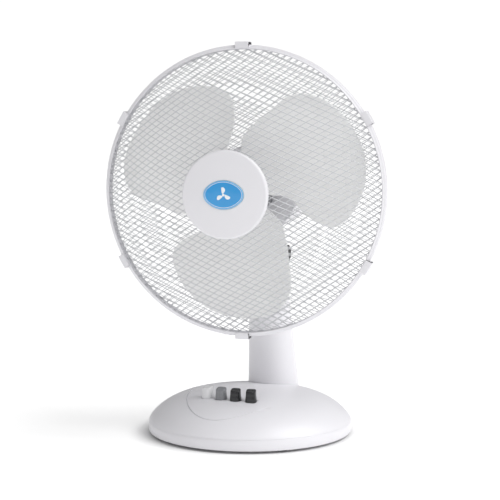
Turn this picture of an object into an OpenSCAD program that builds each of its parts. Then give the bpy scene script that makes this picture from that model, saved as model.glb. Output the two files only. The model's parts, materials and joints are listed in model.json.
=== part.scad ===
// Oscillating desk fan, 12 inch class, on a round domed base.
// Millimetres, +Z up, front towards -Y. The origin is on the table under the centre of the base.
// Pieces of the head are drawn along the blower axis: +z towards the front, +y up, +x to the right.

/* [Base] */
// Outer radius of the base at its rim
base_r = 123; // [112:1:140]
// Height of the top of the dome above the table
dome_h = 52.5; // [46:0.5:60]
// Height where the dome meets the upright rim band
rim_h = 16; // [12:0.5:20]
// Wall of the base cover
base_wall = 2.6; // [2:0.1:3.4]
// Gap under the cover that the feet hold open
foot_h = 3; // [2:0.5:5]
// Radius of a rubber foot
foot_r = 7; // [5:0.5:9]
// Thickness of the bottom plate
plate_t = 2.5; // [2:0.1:3.5]

/* [Buttons] */
// Distance of the row of buttons ahead of the base centre
button_y = 60; // [56:0.5:64]
// Radius of the shallow arc that the four buttons stand on
button_arc_r = 140; // [110:5:200]
// Spacing of the buttons along the arc
button_pitch = 19; // [18:0.1:20]
// Width of a button cap where it leaves the cover
button_w = 12.4; // [10:0.1:13]
// Height that a cap stands above the dome top
button_rise = 10.5; // [8:0.5:13]
// Clearance around a cap in its slot
button_gap = 0.5; // [0.3:0.1:0.8]

/* [Column] */
// Distance of the column's foot behind the base centre
column_y = 68; // [60:1:72]
// Radius of the column where it leaves the dome
column_r = 31.5; // [28:0.5:34]
// Radius of the column at its top
column_top_r = 22; // [19:0.5:25]
// Height of the column's top face
column_h = 200; // [180:1:230]
// Distance of the turning axis behind the base centre
pivot_y = 50; // [42:1:56]
// Wall of the column
column_wall = 2.8; // [2.2:0.1:3.6]

/* [Head] */
// Height of the blower axis above the table
axis_h = 295; // [285:1:330]
// Angle that the head stands turned to, from straight ahead
head_turn = 10; // [-35:1:35]
// Radius of the motor housing
motor_r = 49; // [46:0.5:56]
// Distance of the housing's front face ahead of the turning axis
motor_front = 64; // [62:1:68]
// Distance of the housing's rear end behind the turning axis
motor_rear = 44; // [42:1:52]
// Wall of the motor housing
motor_wall = 2.5; // [2:0.1:3]

/* [Guard] */
// Outer radius of the guard's trim ring
guard_r = 171; // [160:1:185]
// Width of the trim ring, front to back
ring_w = 12; // [12:0.5:16]
// Distance of the trim ring's middle ahead of the turning axis
ring_t = 110.5; // [106:0.5:118]
// Distance of the front guard's centre ahead of the turning axis
front_t = 182.2; // [178:0.2:192]
// Radius of the guard wire
wire_r = 0.6; // [0.5:0.05:0.8]
// Spacing of the guard wires
mesh_pitch = 18.9; // [12.6:0.1:22]
// Radius of the centre cap
cap_r = 49.5; // [44:0.5:54]

/* [Impeller] */
// Radius at the blade tips
blade_r = 148; // [135:1:150]
// Distance of the blades' middle ahead of the turning axis
blade_t = 119; // [117:1:121]
// Blade thickness
blade_wall = 2; // [1.6:0.1:2.6]
// Pitch angle of the blade at its middle
blade_pitch = 15; // [10:1:20]
// Radius of the impeller hub
hub_r = 28; // [24:0.5:32]

/* [Motor] */
// Radius of the motor shaft
shaft_r = 4; // [3:0.25:5]
// Radius of the rotor core
rotor_r = 22; // [20:0.5:24]
// Air gap between rotor and stator
air_gap = 0.6; // [0.4:0.1:0.8]
// Radial running clearance of shafts, pins and bushes
run_gap = 0.05; // [0.02:0.01:0.09]

/* [Hidden] */
$fn = 64;
// Clearance between neighbouring pieces that do not slide on each other
gap = 0.3;

WHITE = "#f2f2f5";
STEEL = "#b9bcc2";
BRASS = "#c9a24b";
BLACK = "#1c1d20";

// ---- Base values ----
dome_power = 3.5;
dome_root = 0.77;
foot_ring_r = base_r - 16;
plate_z = foot_h + 1;
plate_top = plate_z + plate_t;
button_top = dome_h + button_rise;
cap_foot_z = 33;
plunger_z = 26;
switch_y = -(button_y - 1.6);
switch_h = 22;
button_travel = 4;
screw_r = 1.5;
screw_head_r = 3;
base_screw_r = 88;
BUTTON_AT = [-1.5, -0.5, 0.5, 1.5];
button_step = button_pitch / button_arc_r * 180 / PI;
inlet_z = 12;
inlet_r = 3.5;

// ---- Column and neck values ----
column_foot_z = 50;
column_lean = atan((column_y - pivot_y) / (column_h - column_foot_z));
column_slope = (column_r - column_top_r) / (column_h - column_foot_z);
flange_z = 20;
flange_t = 3;
flange_r = column_r + 12;
flange_boss_r = column_r + 7.5;
FLANGE_BOSSES = [[flange_boss_r, column_y], [-flange_boss_r, column_y], [0, column_y - flange_boss_r]];
tilt_z = column_h + 14;
tilt_eye_r = 14;
tongue_w = 14;
ear_w = 6;
bolt_r = 3;
pin_r = 5;
neck_r = 11;
neck_tip_r = 8.2;
link_pin_r = 2;
link_t = 2.8;
link_lift = 0.6;

// ---- Head values, along the blower axis ----
housing_split = 40;
stator_t = 20;
stator_len = 22;
stator_r = motor_r - motor_wall - 3.5;
front_bracket_t = 53;
rear_bracket_t = 5;
bracket_t = 3;
bush_r = 8;
bush_len = 9;
bolt_ring_r = stator_r - 4;
cover_screw_ring = 24;
gearbox_half_w = 23;
gearbox_low = -31;
gearbox_high = 14;
gearbox_rear = -38;
gearbox_wall = 2;
gearbox_boss_h = 5.2;
neck_top = axis_h + gearbox_low - 9.4;
spindle_x = 13.2;
spindle_t = -24;
spindle_r = 2.5;
gear_module = 0.6;
pinion_teeth = 12;
output_teeth = 36;
gear_distance = gear_module * (pinion_teeth + output_teeth) / 2 + 0.2;
crank_x = spindle_x - gear_distance;
crank_r = 9;
link_anchor_r = 16;
link_anchor_angle = 79;
link_len = 26;
boss_r = 20;
nut_r = 33;
guard_plate_t = motor_front + gap;
guard_plate_w = 2.4;
guard_plate_r = 54;
rim_wire_r = 2.2;
rim_r = guard_r - 5;
rear_rim_t = ring_t - 2.4;
front_rim_t = ring_t + 2.4;
split_angle = -97;
lug_h = 7;
mesh_tilt_a = -24;
mesh_tilt_b = 34;
mesh_step = 2 * wire_r + 0.05;
hub_rear = blade_t - 17;
hub_front = blade_t + 12;
shaft_front = hub_front + 12;
shaft_rear = -33;
worm_t = spindle_t - 6;
worm_len = 12;

// Height of the dome at radius r, for a skin set in by inset
function dome_z(r, inset = 0) = rim_h
    + (dome_h - inset - rim_h) * pow(max(0, 1 - pow(r / (base_r - inset), dome_power)), dome_root);

// Profile points of the dome from the centre out to its rim
function dome_points(inset = 0, n = 20) = [
    for (i = [0:n]) let (r = (base_r - inset) * sin(90 * i / n)) [r, dome_z(r, inset)]
];

module rounded_square(w, r) {
    square([w, w - 2 * r], center = true);
    square([w - 2 * r, w], center = true);
    for (sx = [-1, 1], sy = [-1, 1])
        translate([sx * (w / 2 - r), sy * (w / 2 - r)]) circle(r = r);
}

// Puts children at each of n even steps round z
module around(n, start = 0) {
    for (i = [0:n - 1]) rotate([0, 0, start + 360 * i / n]) children();
}

// A tube along z
module tube(h, r_out, r_in) {
    difference() {
        cylinder(h = h, r = r_out);
        translate([0, 0, -1]) cylinder(h = h + 2, r = r_in);
    }
}

// A round-headed screw, its head's underside at z 0 and its shank along -z
module screw(len, r = screw_r, head_r = screw_head_r) {
    translate([0, 0, -len]) cylinder(h = len + 0.5, r = r);
    difference() {
        cylinder(h = 2, r = head_r);
        for (a = [0, 90]) rotate([0, 0, a]) translate([-head_r, -0.4, 1.2]) cube([2 * head_r, 0.8, 2]);
    }
}

// ---- Base pieces ----
module dome_solid(inset = 0) {
    rotate_extrude() polygon(concat([[0, foot_h]], dome_points(inset), [[base_r - inset, foot_h]]));
}

module column_cone(extra = 0, low = -38, high = 0) {
    top = column_h - column_foot_z + high;
    translate([0, column_y, column_foot_z]) rotate([column_lean, 0, 0])
        translate([0, 0, low])
            cylinder(h = top - low, r1 = column_r + extra - column_slope * low,
                     r2 = column_r + extra - column_slope * top);
}

module at_buttons(i) {
    translate([0, button_arc_r - button_y, 0]) rotate([0, 0, BUTTON_AT[i] * button_step])
        translate([0, -button_arc_r, 0]) children();
}

module plunger_at(i) {
    translate([button_arc_r * sin(BUTTON_AT[i] * button_step), switch_y, 0]) children();
}

// Outline of the raised control panel, seen from above
panel_half_w = 74;
panel_front = base_r - 16;
panel_back = 6;
function panel_points(grow = 0, n = 40) = [
    for (i = [0:n]) let (a = 180 * i / n, s = sin(a))
        [-(panel_half_w + grow) * cos(a), panel_back - (panel_front + panel_back + grow) * pow(s, 1.25)]
];

module panel_groove(depth = 0.8, width = 1.3) {
    difference() {
        translate([0, 0, rim_h]) linear_extrude(60) difference() {
            polygon(panel_points());
            polygon(panel_points(-width));
            translate([-100, -2]) square([200, 30]);
        }
        dome_solid(depth);
    }
}

module base_cover() {
    trough_r = 30;
    trough_z = dome_z(button_y) + trough_r - 1.5;
    end_angle = (BUTTON_AT[3] + 0.25) * button_step;
    color(WHITE) difference() {
        union() {
            difference() {
                dome_solid();
                translate([0, 0, -base_wall]) rotate_extrude()
                    polygon(concat([[0, 0]], [for (p = dome_points(base_wall)) p + [0, base_wall]],
                                   [[base_r - base_wall, 0]]));
            }
            // screw bosses for the bottom plate
            for (a = [25, 155, 205, 335]) rotate([0, 0, a]) translate([base_screw_r, 0, plate_top + gap])
                cylinder(h = dome_z(base_screw_r) - plate_top - gap - 1.5, r = 4.5);
            // bosses that the column flange screws to
            for (p = FLANGE_BOSSES) translate([p[0], p[1], flange_z + flange_t + 0.1])
                cylinder(h = dome_z(norm(p)) - flange_z - 5, r = 4);
        }
        panel_groove();
        // shallow trough that the buttons stand in
        translate([0, button_arc_r - button_y, 0]) rotate([0, 0, -90 - end_angle])
            rotate_extrude(angle = 2 * end_angle) translate([button_arc_r, trough_z]) circle(r = trough_r);
        for (i = [0:3]) at_buttons(i) translate([0, 0, rim_h])
            linear_extrude(60) rounded_square(button_w + 2 * button_gap, 3.6);
        column_cone(gap);
        for (a = [25, 155, 205, 335]) rotate([0, 0, a]) translate([base_screw_r, 0, 0])
            cylinder(h = 22, r = screw_r);
        for (p = FLANGE_BOSSES) translate([p[0], p[1], 0]) cylinder(h = flange_z + 9, r = screw_r);
        // seat of the cord gland
        translate([0, base_r - 8, inlet_z]) rotate([-90, 0, 0]) cylinder(h = 12, r = inlet_r + 2.1);
    }
}

module base_plate() {
    color(WHITE) difference() {
        union() {
            translate([0, 0, plate_z]) cylinder(h = plate_t, r = base_r - base_wall - gap);
            // standoffs of the switch block
            for (s = [-1, 1]) translate([s * 38, switch_y, plate_z]) cylinder(h = 10, r = 4);
        }
        for (a = [25, 155, 205, 335]) rotate([0, 0, a]) translate([base_screw_r, 0, 0])
            cylinder(h = 12, r = screw_r + 0.3);
        for (s = [-1, 1]) translate([s * 38, switch_y, plate_z + 2]) cylinder(h = 20, r = screw_r);
        // cooling slots
        for (k = [-3:3]) translate([k * 9 - 1.5, 8, 0]) cube([3, 40, 12]);
        around(4, 45) translate([foot_ring_r, 0, 0]) cylinder(h = 12, r = foot_r - 3);
        // notch that clears the cord gland
        translate([-inlet_r - 3.5, base_r - 10, 0]) cube([2 * inlet_r + 7, 20, 20]);
    }
}

module rubber_feet() {
    color(BLACK) around(4, 45) translate([foot_ring_r, 0, 0]) {
        cylinder(h = plate_z, r = foot_r);
        cylinder(h = plate_top, r = foot_r - 3);
    }
}

module base_screws() {
    color(STEEL) for (a = [25, 155, 205, 335]) rotate([0, 0, a])
        translate([base_screw_r, 0, plate_z]) rotate([180, 0, 0]) screw(14);
}

module switch_block() {
    half = button_arc_r * sin(BUTTON_AT[3] * button_step) + 6;
    color(BLACK) difference() {
        union() {
            translate([-half, switch_y - 8, plate_top + 8]) cube([2 * half, 16, switch_h - plate_top - 8]);
            translate([-43, switch_y - 6, plate_z + 10]) cube([86, 12, 2]);
            // spade terminals
            for (k = [-2:2]) translate([k * 12 - 2.4, switch_y - 0.4, plate_top + 2]) cube([4.8, 0.8, 8]);
        }
        for (i = [0:3]) plunger_at(i) translate([-2.9, -2.4, 15.4]) cube([5.8, 4.8, 20]);
        for (s = [-1, 1]) translate([s * 38, switch_y, 0]) cylinder(h = 30, r = screw_r + 0.2);
    }
}

module switch_screws() {
    color(STEEL) for (s = [-1, 1]) translate([s * 38, switch_y, plate_z + 12]) screw(8);
}

module plunger(i) {
    color(WHITE) plunger_at(i) translate([-2.6, -2.1, plunger_z - 6]) cube([5.2, 4.2, 10]);
}

module button_cap(i, colour) {
    rise = button_top - dome_z(button_y);
    mid_z = dome_z(button_y) + 0.35 * rise;
    color(colour) difference() {
        union() {
            at_buttons(i) {
                translate([0, 0, cap_foot_z + 6]) linear_extrude(mid_z - cap_foot_z - 6)
                    rounded_square(button_w, 3.2);
                translate([0, 0, mid_z - 1]) linear_extrude(button_top - mid_z + 1)
                    rounded_square(button_w - 1.6, 3.2);
            }
            plunger_at(i) translate([-4, -3.5, plunger_z + 2]) cube([8, 7, cap_foot_z + 8 - plunger_z - 2]);
        }
        // finger scoop across the slanted top
        at_buttons(i) translate([0, -6, button_top + 13.5]) rotate([0, 90, 0])
            cylinder(h = 30, r = 15.5, center = true);
        // socket for the switch plunger
        plunger_at(i) translate([-2.6, -2.1, 0]) cube([5.2, 4.2, plunger_z + 4]);
    }
}

module run_capacitor() {
    color(WHITE) translate([-72, -8, plate_top + gap]) {
        cube([30, 16, 20]);
        for (y = [4, 12]) translate([30, y, 10]) rotate([0, 90, 0]) cylinder(h = 5, r = 0.9);
    }
}

module terminal_block() {
    color("#e9e4d0") difference() {
        translate([38, 20, plate_top + gap]) cube([24, 14, 11]);
        for (k = [0:2]) translate([42 + k * 8, 19, plate_top + 5]) rotate([-90, 0, 0]) cylinder(h = 16, r = 1.7);
    }
}

module cord_gland() {
    color(BLACK) translate([0, base_r - base_wall - 5, inlet_z]) rotate([-90, 0, 0]) difference() {
        union() {
            cylinder(h = base_wall + 8, r = inlet_r + 1.8);
            cylinder(h = 3.5, r = inlet_r + 3);
            translate([0, 0, base_wall + 5.5]) cylinder(h = 2.5, r = inlet_r + 3);
        }
        translate([0, 0, -1]) cylinder(h = 30, r = inlet_r);
    }
}

module column() {
    color(WHITE) difference() {
        union() {
            intersection() {
                column_cone();
                translate([-60, 0, flange_z]) cube([120, 130, column_h - flange_z]);
            }
            translate([0, column_y, flange_z]) intersection() {
                cylinder(h = flange_t, r = flange_r);
                translate([-60, -60, 0]) cube([120, 96, flange_t]);
            }
            // ears that hold the neck
            for (s = [-1, 1]) translate([s * (tongue_w / 2 + gap + ear_w / 2), pivot_y, 0]) {
                translate([0, 0, tilt_z]) rotate([0, 90, 0])
                    cylinder(h = ear_w, r = tilt_eye_r, center = true);
                translate([-ear_w / 2, -tilt_eye_r, column_h - 6])
                    cube([ear_w, 2 * tilt_eye_r, tilt_z - column_h + 6]);
            }
        }
        intersection() {
            column_cone(-column_wall);
            translate([-60, 0, 0]) cube([120, 130, column_h - 5]);
        }
        translate([-40, pivot_y, tilt_z]) rotate([0, 90, 0]) cylinder(h = 80, r = bolt_r + run_gap);
        for (p = FLANGE_BOSSES) translate([p[0], p[1], flange_z - 1]) cylinder(h = 6, r = screw_r + 0.3);
    }
}

module column_screws() {
    color(STEEL) for (p = FLANGE_BOSSES) translate([p[0], p[1], flange_z]) rotate([180, 0, 0]) screw(8);
}

// ---- Neck ----
ear_out = tongue_w / 2 + gap + ear_w;

module tilt_bolt() {
    color(STEEL) translate([0, pivot_y, tilt_z]) rotate([0, 90, 0]) {
        translate([0, 0, -ear_out - 1]) cylinder(h = 2 * ear_out + 12, r = bolt_r);
        translate([0, 0, -ear_out - 4.1]) cylinder(h = 4, r = 5.5, $fn = 6);
    }
}

module tilt_knob() {
    color(BLACK) translate([ear_out + gap, pivot_y, tilt_z]) rotate([0, 90, 0]) difference() {
        union() {
            cylinder(h = 6, r = 7);
            translate([0, 0, 5]) cylinder(h = 9, r = 11);
        }
        around(8) translate([12.6, 0, 4]) cylinder(h = 12, r = 3);
        translate([0, 0, -1]) cylinder(h = 13, r = bolt_r + run_gap);
    }
}

module neck() {
    color(WHITE) translate([0, pivot_y, 0]) difference() {
        union() {
            translate([0, 0, tilt_z]) rotate([0, 90, 0])
                cylinder(h = tongue_w, r = tilt_eye_r - 0.6, center = true);
            translate([0, 0, tilt_z + 2]) cylinder(h = neck_top - 6 - tilt_z, r = tongue_w / 2);
            translate([0, 0, tilt_z + tilt_eye_r + 1]) cylinder(h = neck_top - 19 - tilt_z, r = neck_r);
            translate([0, 0, neck_top - 6]) cylinder(h = 6, r = neck_tip_r);
            // arm and pin that hold the crank link
            rotate([0, 0, 90 - link_anchor_angle]) {
                translate([0, -4, neck_top - 8]) cube([link_anchor_r, 8, 4]);
                translate([link_anchor_r, 0, neck_top - 8]) cylinder(h = 4, r = 4);
                translate([link_anchor_r, 0, neck_top - 8])
                    cylinder(h = 8 + link_lift + link_t + 0.2, r = link_pin_r);
            }
        }
        translate([0, 0, tilt_z + tilt_eye_r + 4]) cylinder(h = 80, r = pin_r + run_gap);
        translate([-20, 0, tilt_z]) rotate([0, 90, 0]) cylinder(h = 40, r = bolt_r + run_gap);
        translate([0, 0, neck_top - 14]) rotate([-90, 0, 0]) cylinder(h = 20, r = 2);
    }
}

module neck_screw() {
    color(STEEL) translate([0, pivot_y + neck_r + 0.1, neck_top - 14]) rotate([-90, 0, 0])
        screw(neck_r - pin_r + 0.9, r = 2, head_r = 3.6);
}

// ---- Head: placing ----
module head() {
    translate([0, pivot_y, 0]) rotate([0, 0, head_turn]) translate([0, 0, axis_h]) rotate([90, 0, 0])
        children();
}

// Upright pieces of the head: z up from the blower axis, at (x, t ahead of the turning axis)
module upright(x, t) {
    head() translate([x, 0, t]) rotate([-90, 0, 0]) children();
}

// ---- Gearbox ----
module pivot_pin() {
    color(STEEL) upright(0, 0) difference() {
        union() {
            translate([0, 0, gearbox_low + 0.5]) cylinder(h = 4, r = pin_r + 3);
            translate([0, 0, tilt_z + tilt_eye_r + 6 - axis_h])
                cylinder(h = axis_h - tilt_z - tilt_eye_r - 6 + gearbox_low + 2, r = pin_r);
            // collar that carries the head on top of the neck
            translate([0, 0, neck_top + 0.1 - axis_h])
                cylinder(h = gearbox_low - gearbox_boss_h - 0.2 - neck_top + axis_h, r = pin_r + 0.9);
        }
        translate([0, 0, neck_top - 16.5 - axis_h]) tube(5, pin_r + 1, pin_r - 1.2);
    }
}

module gearbox_case() {
    color(STEEL) head() difference() {
        union() {
            translate([-gearbox_half_w, gearbox_low, gearbox_rear])
                cube([2 * gearbox_half_w, gearbox_high - gearbox_low, rear_bracket_t - gap - gearbox_rear]);
            translate([0, gearbox_low + 0.1, 0]) rotate([90, 0, 0])
                cylinder(h = gearbox_boss_h + 0.1, r = neck_tip_r);
        }
        translate([-gearbox_half_w + gearbox_wall, gearbox_low + gearbox_wall, gearbox_rear + gearbox_wall])
            cube([2 * (gearbox_half_w - gearbox_wall), 60, -gearbox_rear - 10 - gearbox_wall]);
        // shaft tunnel and rear bush seat
        translate([0, 0, -30]) cylinder(h = 40, r = bush_r);
        // pivot pin and its head
        translate([0, gearbox_low + 5, 0]) rotate([90, 0, 0]) cylinder(h = 20, r = pin_r);
        translate([0, gearbox_low + 0.4, 0]) rotate([-90, 0, 0]) cylinder(h = 5, r = pin_r + 3.1);
        // spindle and crank bearings
        translate([spindle_x, gearbox_low - 1, spindle_t]) rotate([-90, 0, 0])
            cylinder(h = 4, r = spindle_r + run_gap);
        translate([crank_x, gearbox_low - 1, spindle_t]) rotate([-90, 0, 0])
            cylinder(h = 4, r = 3 + run_gap);
    }
}

module gearbox_lid() {
    color(STEEL) head() difference() {
        translate([-gearbox_half_w, gearbox_high + 0.1, gearbox_rear])
            cube([2 * gearbox_half_w, 2.4, -gearbox_rear - 8]);
        translate([spindle_x, gearbox_high - 1, spindle_t]) rotate([-90, 0, 0])
            cylinder(h = 6, r = spindle_r + run_gap);
    }
}

module worm() {
    color(STEEL) head() difference() {
        union() {
            translate([0, 0, worm_t]) cylinder(h = worm_len, r = 4.3);
            for (k = [0:6]) translate([0, 0, worm_t + 1 + k * 1.55]) cylinder(h = 0.8, r = 5.8);
        }
        translate([0, 0, worm_t - 1]) cylinder(h = worm_len + 2, r = 2.8);
    }
}

// A spur gear outline with trapezoid teeth, a tooth centred on +x
module gear_outline(teeth, m, add = 0.65, ded = 0.95) {
    step = 360 / teeth;
    pitch_r = m * teeth / 2;
    polygon([for (i = [0:teeth - 1], p = [[-0.27, -1], [-0.12, 1], [0.12, 1], [0.27, -1]])
        let (r = pitch_r + (p[1] > 0 ? add * m : -ded * m), a = (i + p[0]) * step)
            [r * cos(a), r * sin(a)]]);
}

module worm_wheel() {
    color(BRASS) upright(spindle_x, spindle_t) {
        translate([0, 0, -4]) linear_extrude(8) gear_outline(36, 0.38);
        translate([0, 0, gearbox_low + 0.5]) cylinder(h = 19 - gearbox_low, r = spindle_r);
        translate([0, 0, gearbox_low + gearbox_wall + 0.4]) linear_extrude(6)
            rotate([0, 0, 180]) gear_outline(pinion_teeth, gear_module);
    }
}

// Crank angle at which the link just spans from its pin on the neck to the crank pin
anchor_rel = 90 - link_anchor_angle - head_turn;
anchor_x = link_anchor_r * cos(anchor_rel);
anchor_back = link_anchor_r * sin(anchor_rel);
link_dx = anchor_x - crank_x;
link_dy = anchor_back + spindle_t;
link_span = norm([link_dx, link_dy]);
crank_turn = acos((crank_r * crank_r + link_span * link_span - link_len * link_len)
                  / (2 * crank_r * link_span));
crank_angle = atan2(link_dy, link_dx) + crank_turn;
crank_pin = [crank_x + crank_r * cos(crank_angle), -spindle_t + crank_r * sin(crank_angle)];
link_angle = atan2(anchor_back - crank_pin[1], anchor_x - crank_pin[0]);

module output_crank() {
    color(BRASS) upright(crank_x, spindle_t) {
        translate([0, 0, gearbox_low + gearbox_wall + 0.4]) linear_extrude(5)
            rotate([0, 0, 180 / output_teeth]) gear_outline(output_teeth, gear_module);
        translate([0, 0, gearbox_low - 4.8]) cylinder(h = 9, r = 3);
        translate([0, 0, gearbox_low - 4.8]) cylinder(h = 4, r = crank_r + 3.5);
        // the crank pin stops just above the link
        rotate([0, 0, crank_angle]) translate([crank_r, 0, neck_top + link_lift + link_t + 0.3 - axis_h])
            cylinder(h = 3, r = link_pin_r);
    }
}

module crank_link() {
    color(STEEL) head() rotate([-90, 0, 0])
        translate([crank_pin[0], crank_pin[1], neck_top + link_lift - axis_h])
        rotate([0, 0, link_angle]) difference() {
            union() {
                translate([0, -2.3, 0]) cube([link_len, 4.6, link_t]);
                for (x = [0, link_len]) translate([x, 0, 0]) cylinder(h = link_t, r = 3.2);
            }
            for (x = [0, link_len]) translate([x, 0, -1]) cylinder(h = 6, r = link_pin_r + 0.08);
        }
}

// ---- Motor ----
module bracket(t) {
    head() translate([0, 0, t]) difference() {
        union() {
            cylinder(h = bracket_t, r = 29);
            for (a = [45, 135]) rotate([0, 0, a]) translate([-stator_r, -6, 0]) cube([2 * stator_r, 12, bracket_t]);
            tube(bracket_t, stator_r + 1.5, stator_r - 6);
            cylinder(h = bush_len + 1, r = bush_r + 3);
        }
        translate([0, 0, -10]) cylinder(h = 30, r = bush_r + 0.02);
        around(4, 45) translate([bolt_ring_r, 0, -1]) cylinder(h = 8, r = 1.7);
        around(3, 90) translate([cover_screw_ring, 0, -1]) cylinder(h = 8, r = screw_r);
    }
}

module rear_bracket() {
    // open at the bottom, where the neck turns
    color(STEEL) difference() {
        bracket(rear_bracket_t);
        head() translate([-link_anchor_r - 5.4, -100, rear_bracket_t - 1])
            cube([2 * link_anchor_r + 10.8, 100 + gearbox_low + 5.2, bracket_t + 2]);
    }
}

module front_bracket() { color(STEEL) bracket(front_bracket_t); }

module bush(t) {
    color(BRASS) head() translate([0, 0, t]) tube(bush_len, bush_r, shaft_r + run_gap);
}

module rear_bearing() { bush(rear_bracket_t + 0.5); }
module front_bearing() { bush(front_bracket_t); }

module bracket_bolts() {
    reach = front_bracket_t - rear_bracket_t + bracket_t;
    color(STEEL) head() around(4, 45) translate([bolt_ring_r, 0, rear_bracket_t]) {
        translate([0, 0, -0.5]) cylinder(h = reach + 3, r = 1.6);
        translate([0, 0, -2.4]) cylinder(h = 2.3, r = 3.2, $fn = 6);
        translate([0, 0, reach + 0.1]) cylinder(h = 2.3, r = 3.2, $fn = 6);
    }
}

module stator_core() {
    bore = rotor_r + air_gap;
    color(STEEL) head() translate([0, 0, stator_t]) difference() {
        union() {
            tube(stator_len, stator_r, stator_r - 7.5);
            around(4) translate([bore - 1, -5.5, 0]) cube([stator_r - bore - 3, 11, stator_len]);
            intersection() {
                tube(stator_len, bore + 4, bore);
                around(4) translate([0, -12, 0]) cube([60, 24, stator_len]);
            }
        }
        translate([0, 0, -1]) cylinder(h = stator_len + 2, r = bore);
        around(4, 45) translate([bolt_ring_r, 0, -1]) cylinder(h = stator_len + 2, r = 1.7);
    }
}

module windings() {
    inner = rotor_r + air_gap + 4.4;
    half_w = 9.2;
    depth = sqrt(pow(stator_r - 7.7, 2) - half_w * half_w) - inner - 0.3;
    over = 6;
    color("#a8542a") head() around(4) translate([inner, 0, stator_t + stator_len / 2]) difference() {
        translate([0, -half_w, -stator_len / 2 - over]) cube([depth, 2 * half_w, stator_len + 2 * over]);
        translate([-1, -5.7, -stator_len / 2 - 0.2]) cube([depth + 2, 11.4, stator_len + 0.4]);
    }
}

module rotor_core() {
    color(STEEL) head() translate([0, 0, stator_t]) {
        difference() {
            union() {
                cylinder(h = stator_len, r = rotor_r);
                translate([0, 0, -3]) cylinder(h = stator_len + 6, r = rotor_r - 2.5);
            }
            translate([0, 0, -5]) cylinder(h = stator_len + 10, r = shaft_r);
        }
    }
}

module shaft() {
    color(STEEL) head() difference() {
        union() {
            translate([0, 0, -14]) cylinder(h = shaft_front + 14, r = shaft_r);
            translate([0, 0, shaft_rear]) cylinder(h = -14 - shaft_rear + 1, r = 2.8);
        }
        translate([0, 0, hub_rear + 3]) rotate([0, 90, 0]) cylinder(h = 20, r = 1.5, center = true);
    }
}

module housing_shell(t0, t1, r) {
    translate([0, 0, t0]) cylinder(h = t1 - t0, r = r);
}

module motor_housing() {
    round_r = 20;
    color(WHITE) head() difference() {
        rotate_extrude() difference() {
            union() {
                translate([0, -motor_rear + round_r]) square([motor_r, motor_rear - round_r + housing_split]);
                translate([0, -motor_rear]) square([motor_r - round_r, round_r + 1]);
                translate([motor_r - round_r, -motor_rear + round_r]) circle(r = round_r);
            }
            union() {
                translate([-1, -motor_rear + round_r])
                    square([motor_r - motor_wall + 1, motor_rear - round_r + housing_split + 1]);
                translate([-1, -motor_rear + motor_wall])
                    square([motor_r - round_r + 1, round_r]);
                translate([motor_r - round_r, -motor_rear + round_r]) circle(r = round_r - motor_wall);
            }
            translate([-100, -100]) square([100, 300]);
        }
        // opening that the neck turns in
        rotate([90, 0, 0]) cylinder(h = 80, r = link_anchor_r + 5.9);
        // oscillation knob's stem
        translate([spindle_x, 0, spindle_t]) rotate([-90, 0, 0]) cylinder(h = 80, r = 3.6);
        // cooling louvres in the rear end
        for (k = [-3:3], s = [-1, 1]) translate([s * 10 - 6, k * 6 - 1.2, -motor_rear - 1])
            cube([12, 2.4, motor_wall + 2]);
    }
}

module motor_front_cover() {
    color(WHITE) head() difference() {
        union() {
            translate([0, 0, housing_split + gap])
                tube(motor_front - housing_split - gap, motor_r, motor_r - motor_wall);
            translate([0, 0, motor_front - 2]) cylinder(h = 2, r = motor_r - 1);
            translate([0, 0, motor_front - 1]) cylinder(h = 12, r = boss_r);
        }
        translate([0, 0, motor_front - 3]) cylinder(h = 20, r = bush_r + 4);
        around(12, 15) translate([27, -1.6, motor_front - 3]) cube([14, 3.2, 8]);
        around(3, 90) translate([cover_screw_ring, 0, motor_front - 3]) cylinder(h = 8, r = screw_r + 0.2);
    }
}

module cover_screws() {
    color(STEEL) head() around(3, 90) translate([cover_screw_ring, 0, motor_front + 0.1])
        screw(motor_front - front_bracket_t, head_r = 2.6);
}

module oscillation_knob() {
    top = motor_r + 12;
    color(WHITE) upright(spindle_x, spindle_t) difference() {
        union() {
            translate([0, 0, 20]) cylinder(h = top - 20, r = 3.2);
            translate([0, 0, motor_r + 0.6]) cylinder(h = top - motor_r - 0.6, r = 7.5);
            translate([0, 0, top - 3]) cylinder(h = 3, r = 9);
        }
        // socket over the spindle's tip, long enough for the pull
        translate([0, 0, 10]) cylinder(h = 18, r = spindle_r + run_gap);
    }
}

// ---- Guards ----
// Centre height of the sphere through two circles, and its radius
function dome_centre(r1, t1, r2, t2) = (r1 * r1 + t1 * t1 - r2 * r2 - t2 * t2) / (2 * (t1 - t2));

rim_drop = 1.5;
front_c = dome_centre(rim_r, front_rim_t - rim_drop, cap_r, front_t);
front_sphere = norm([rim_r, front_rim_t - rim_drop - front_c]);
rear_c = dome_centre(rim_r, rear_rim_t, guard_plate_r - 2, guard_plate_t + guard_plate_w / 2);
rear_sphere = norm([rim_r, rear_rim_t - rear_c]);

// One wire of a domed mesh: the cut of a plane, off the axis by p, with a sphere centred at c.
// hole is the radius that the wire stops at, or 0 for a wire that runs right across.
module mesh_wire(p, c, sphere_r, front, hole) {
    arc_r = sqrt(sphere_r * sphere_r - p * p);
    outer = asin(sqrt(pow(rim_r - 1.2, 2) - p * p) / arc_r);
    inner = hole > abs(p) ? asin(sqrt(hole * hole - p * p) / arc_r) : 0;
    spans = inner > 0 ? [[-outer, -inner], [inner, outer]] : [[-outer, outer]];
    translate([0, p, c]) rotate([90, 0, 0])
        for (s = spans) rotate_extrude(angle = s[1] - s[0], start = (front ? 90 : 270) + s[0], $fn = 24)
            translate([arc_r, 0]) circle(r = wire_r, $fn = 24);
}

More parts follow.
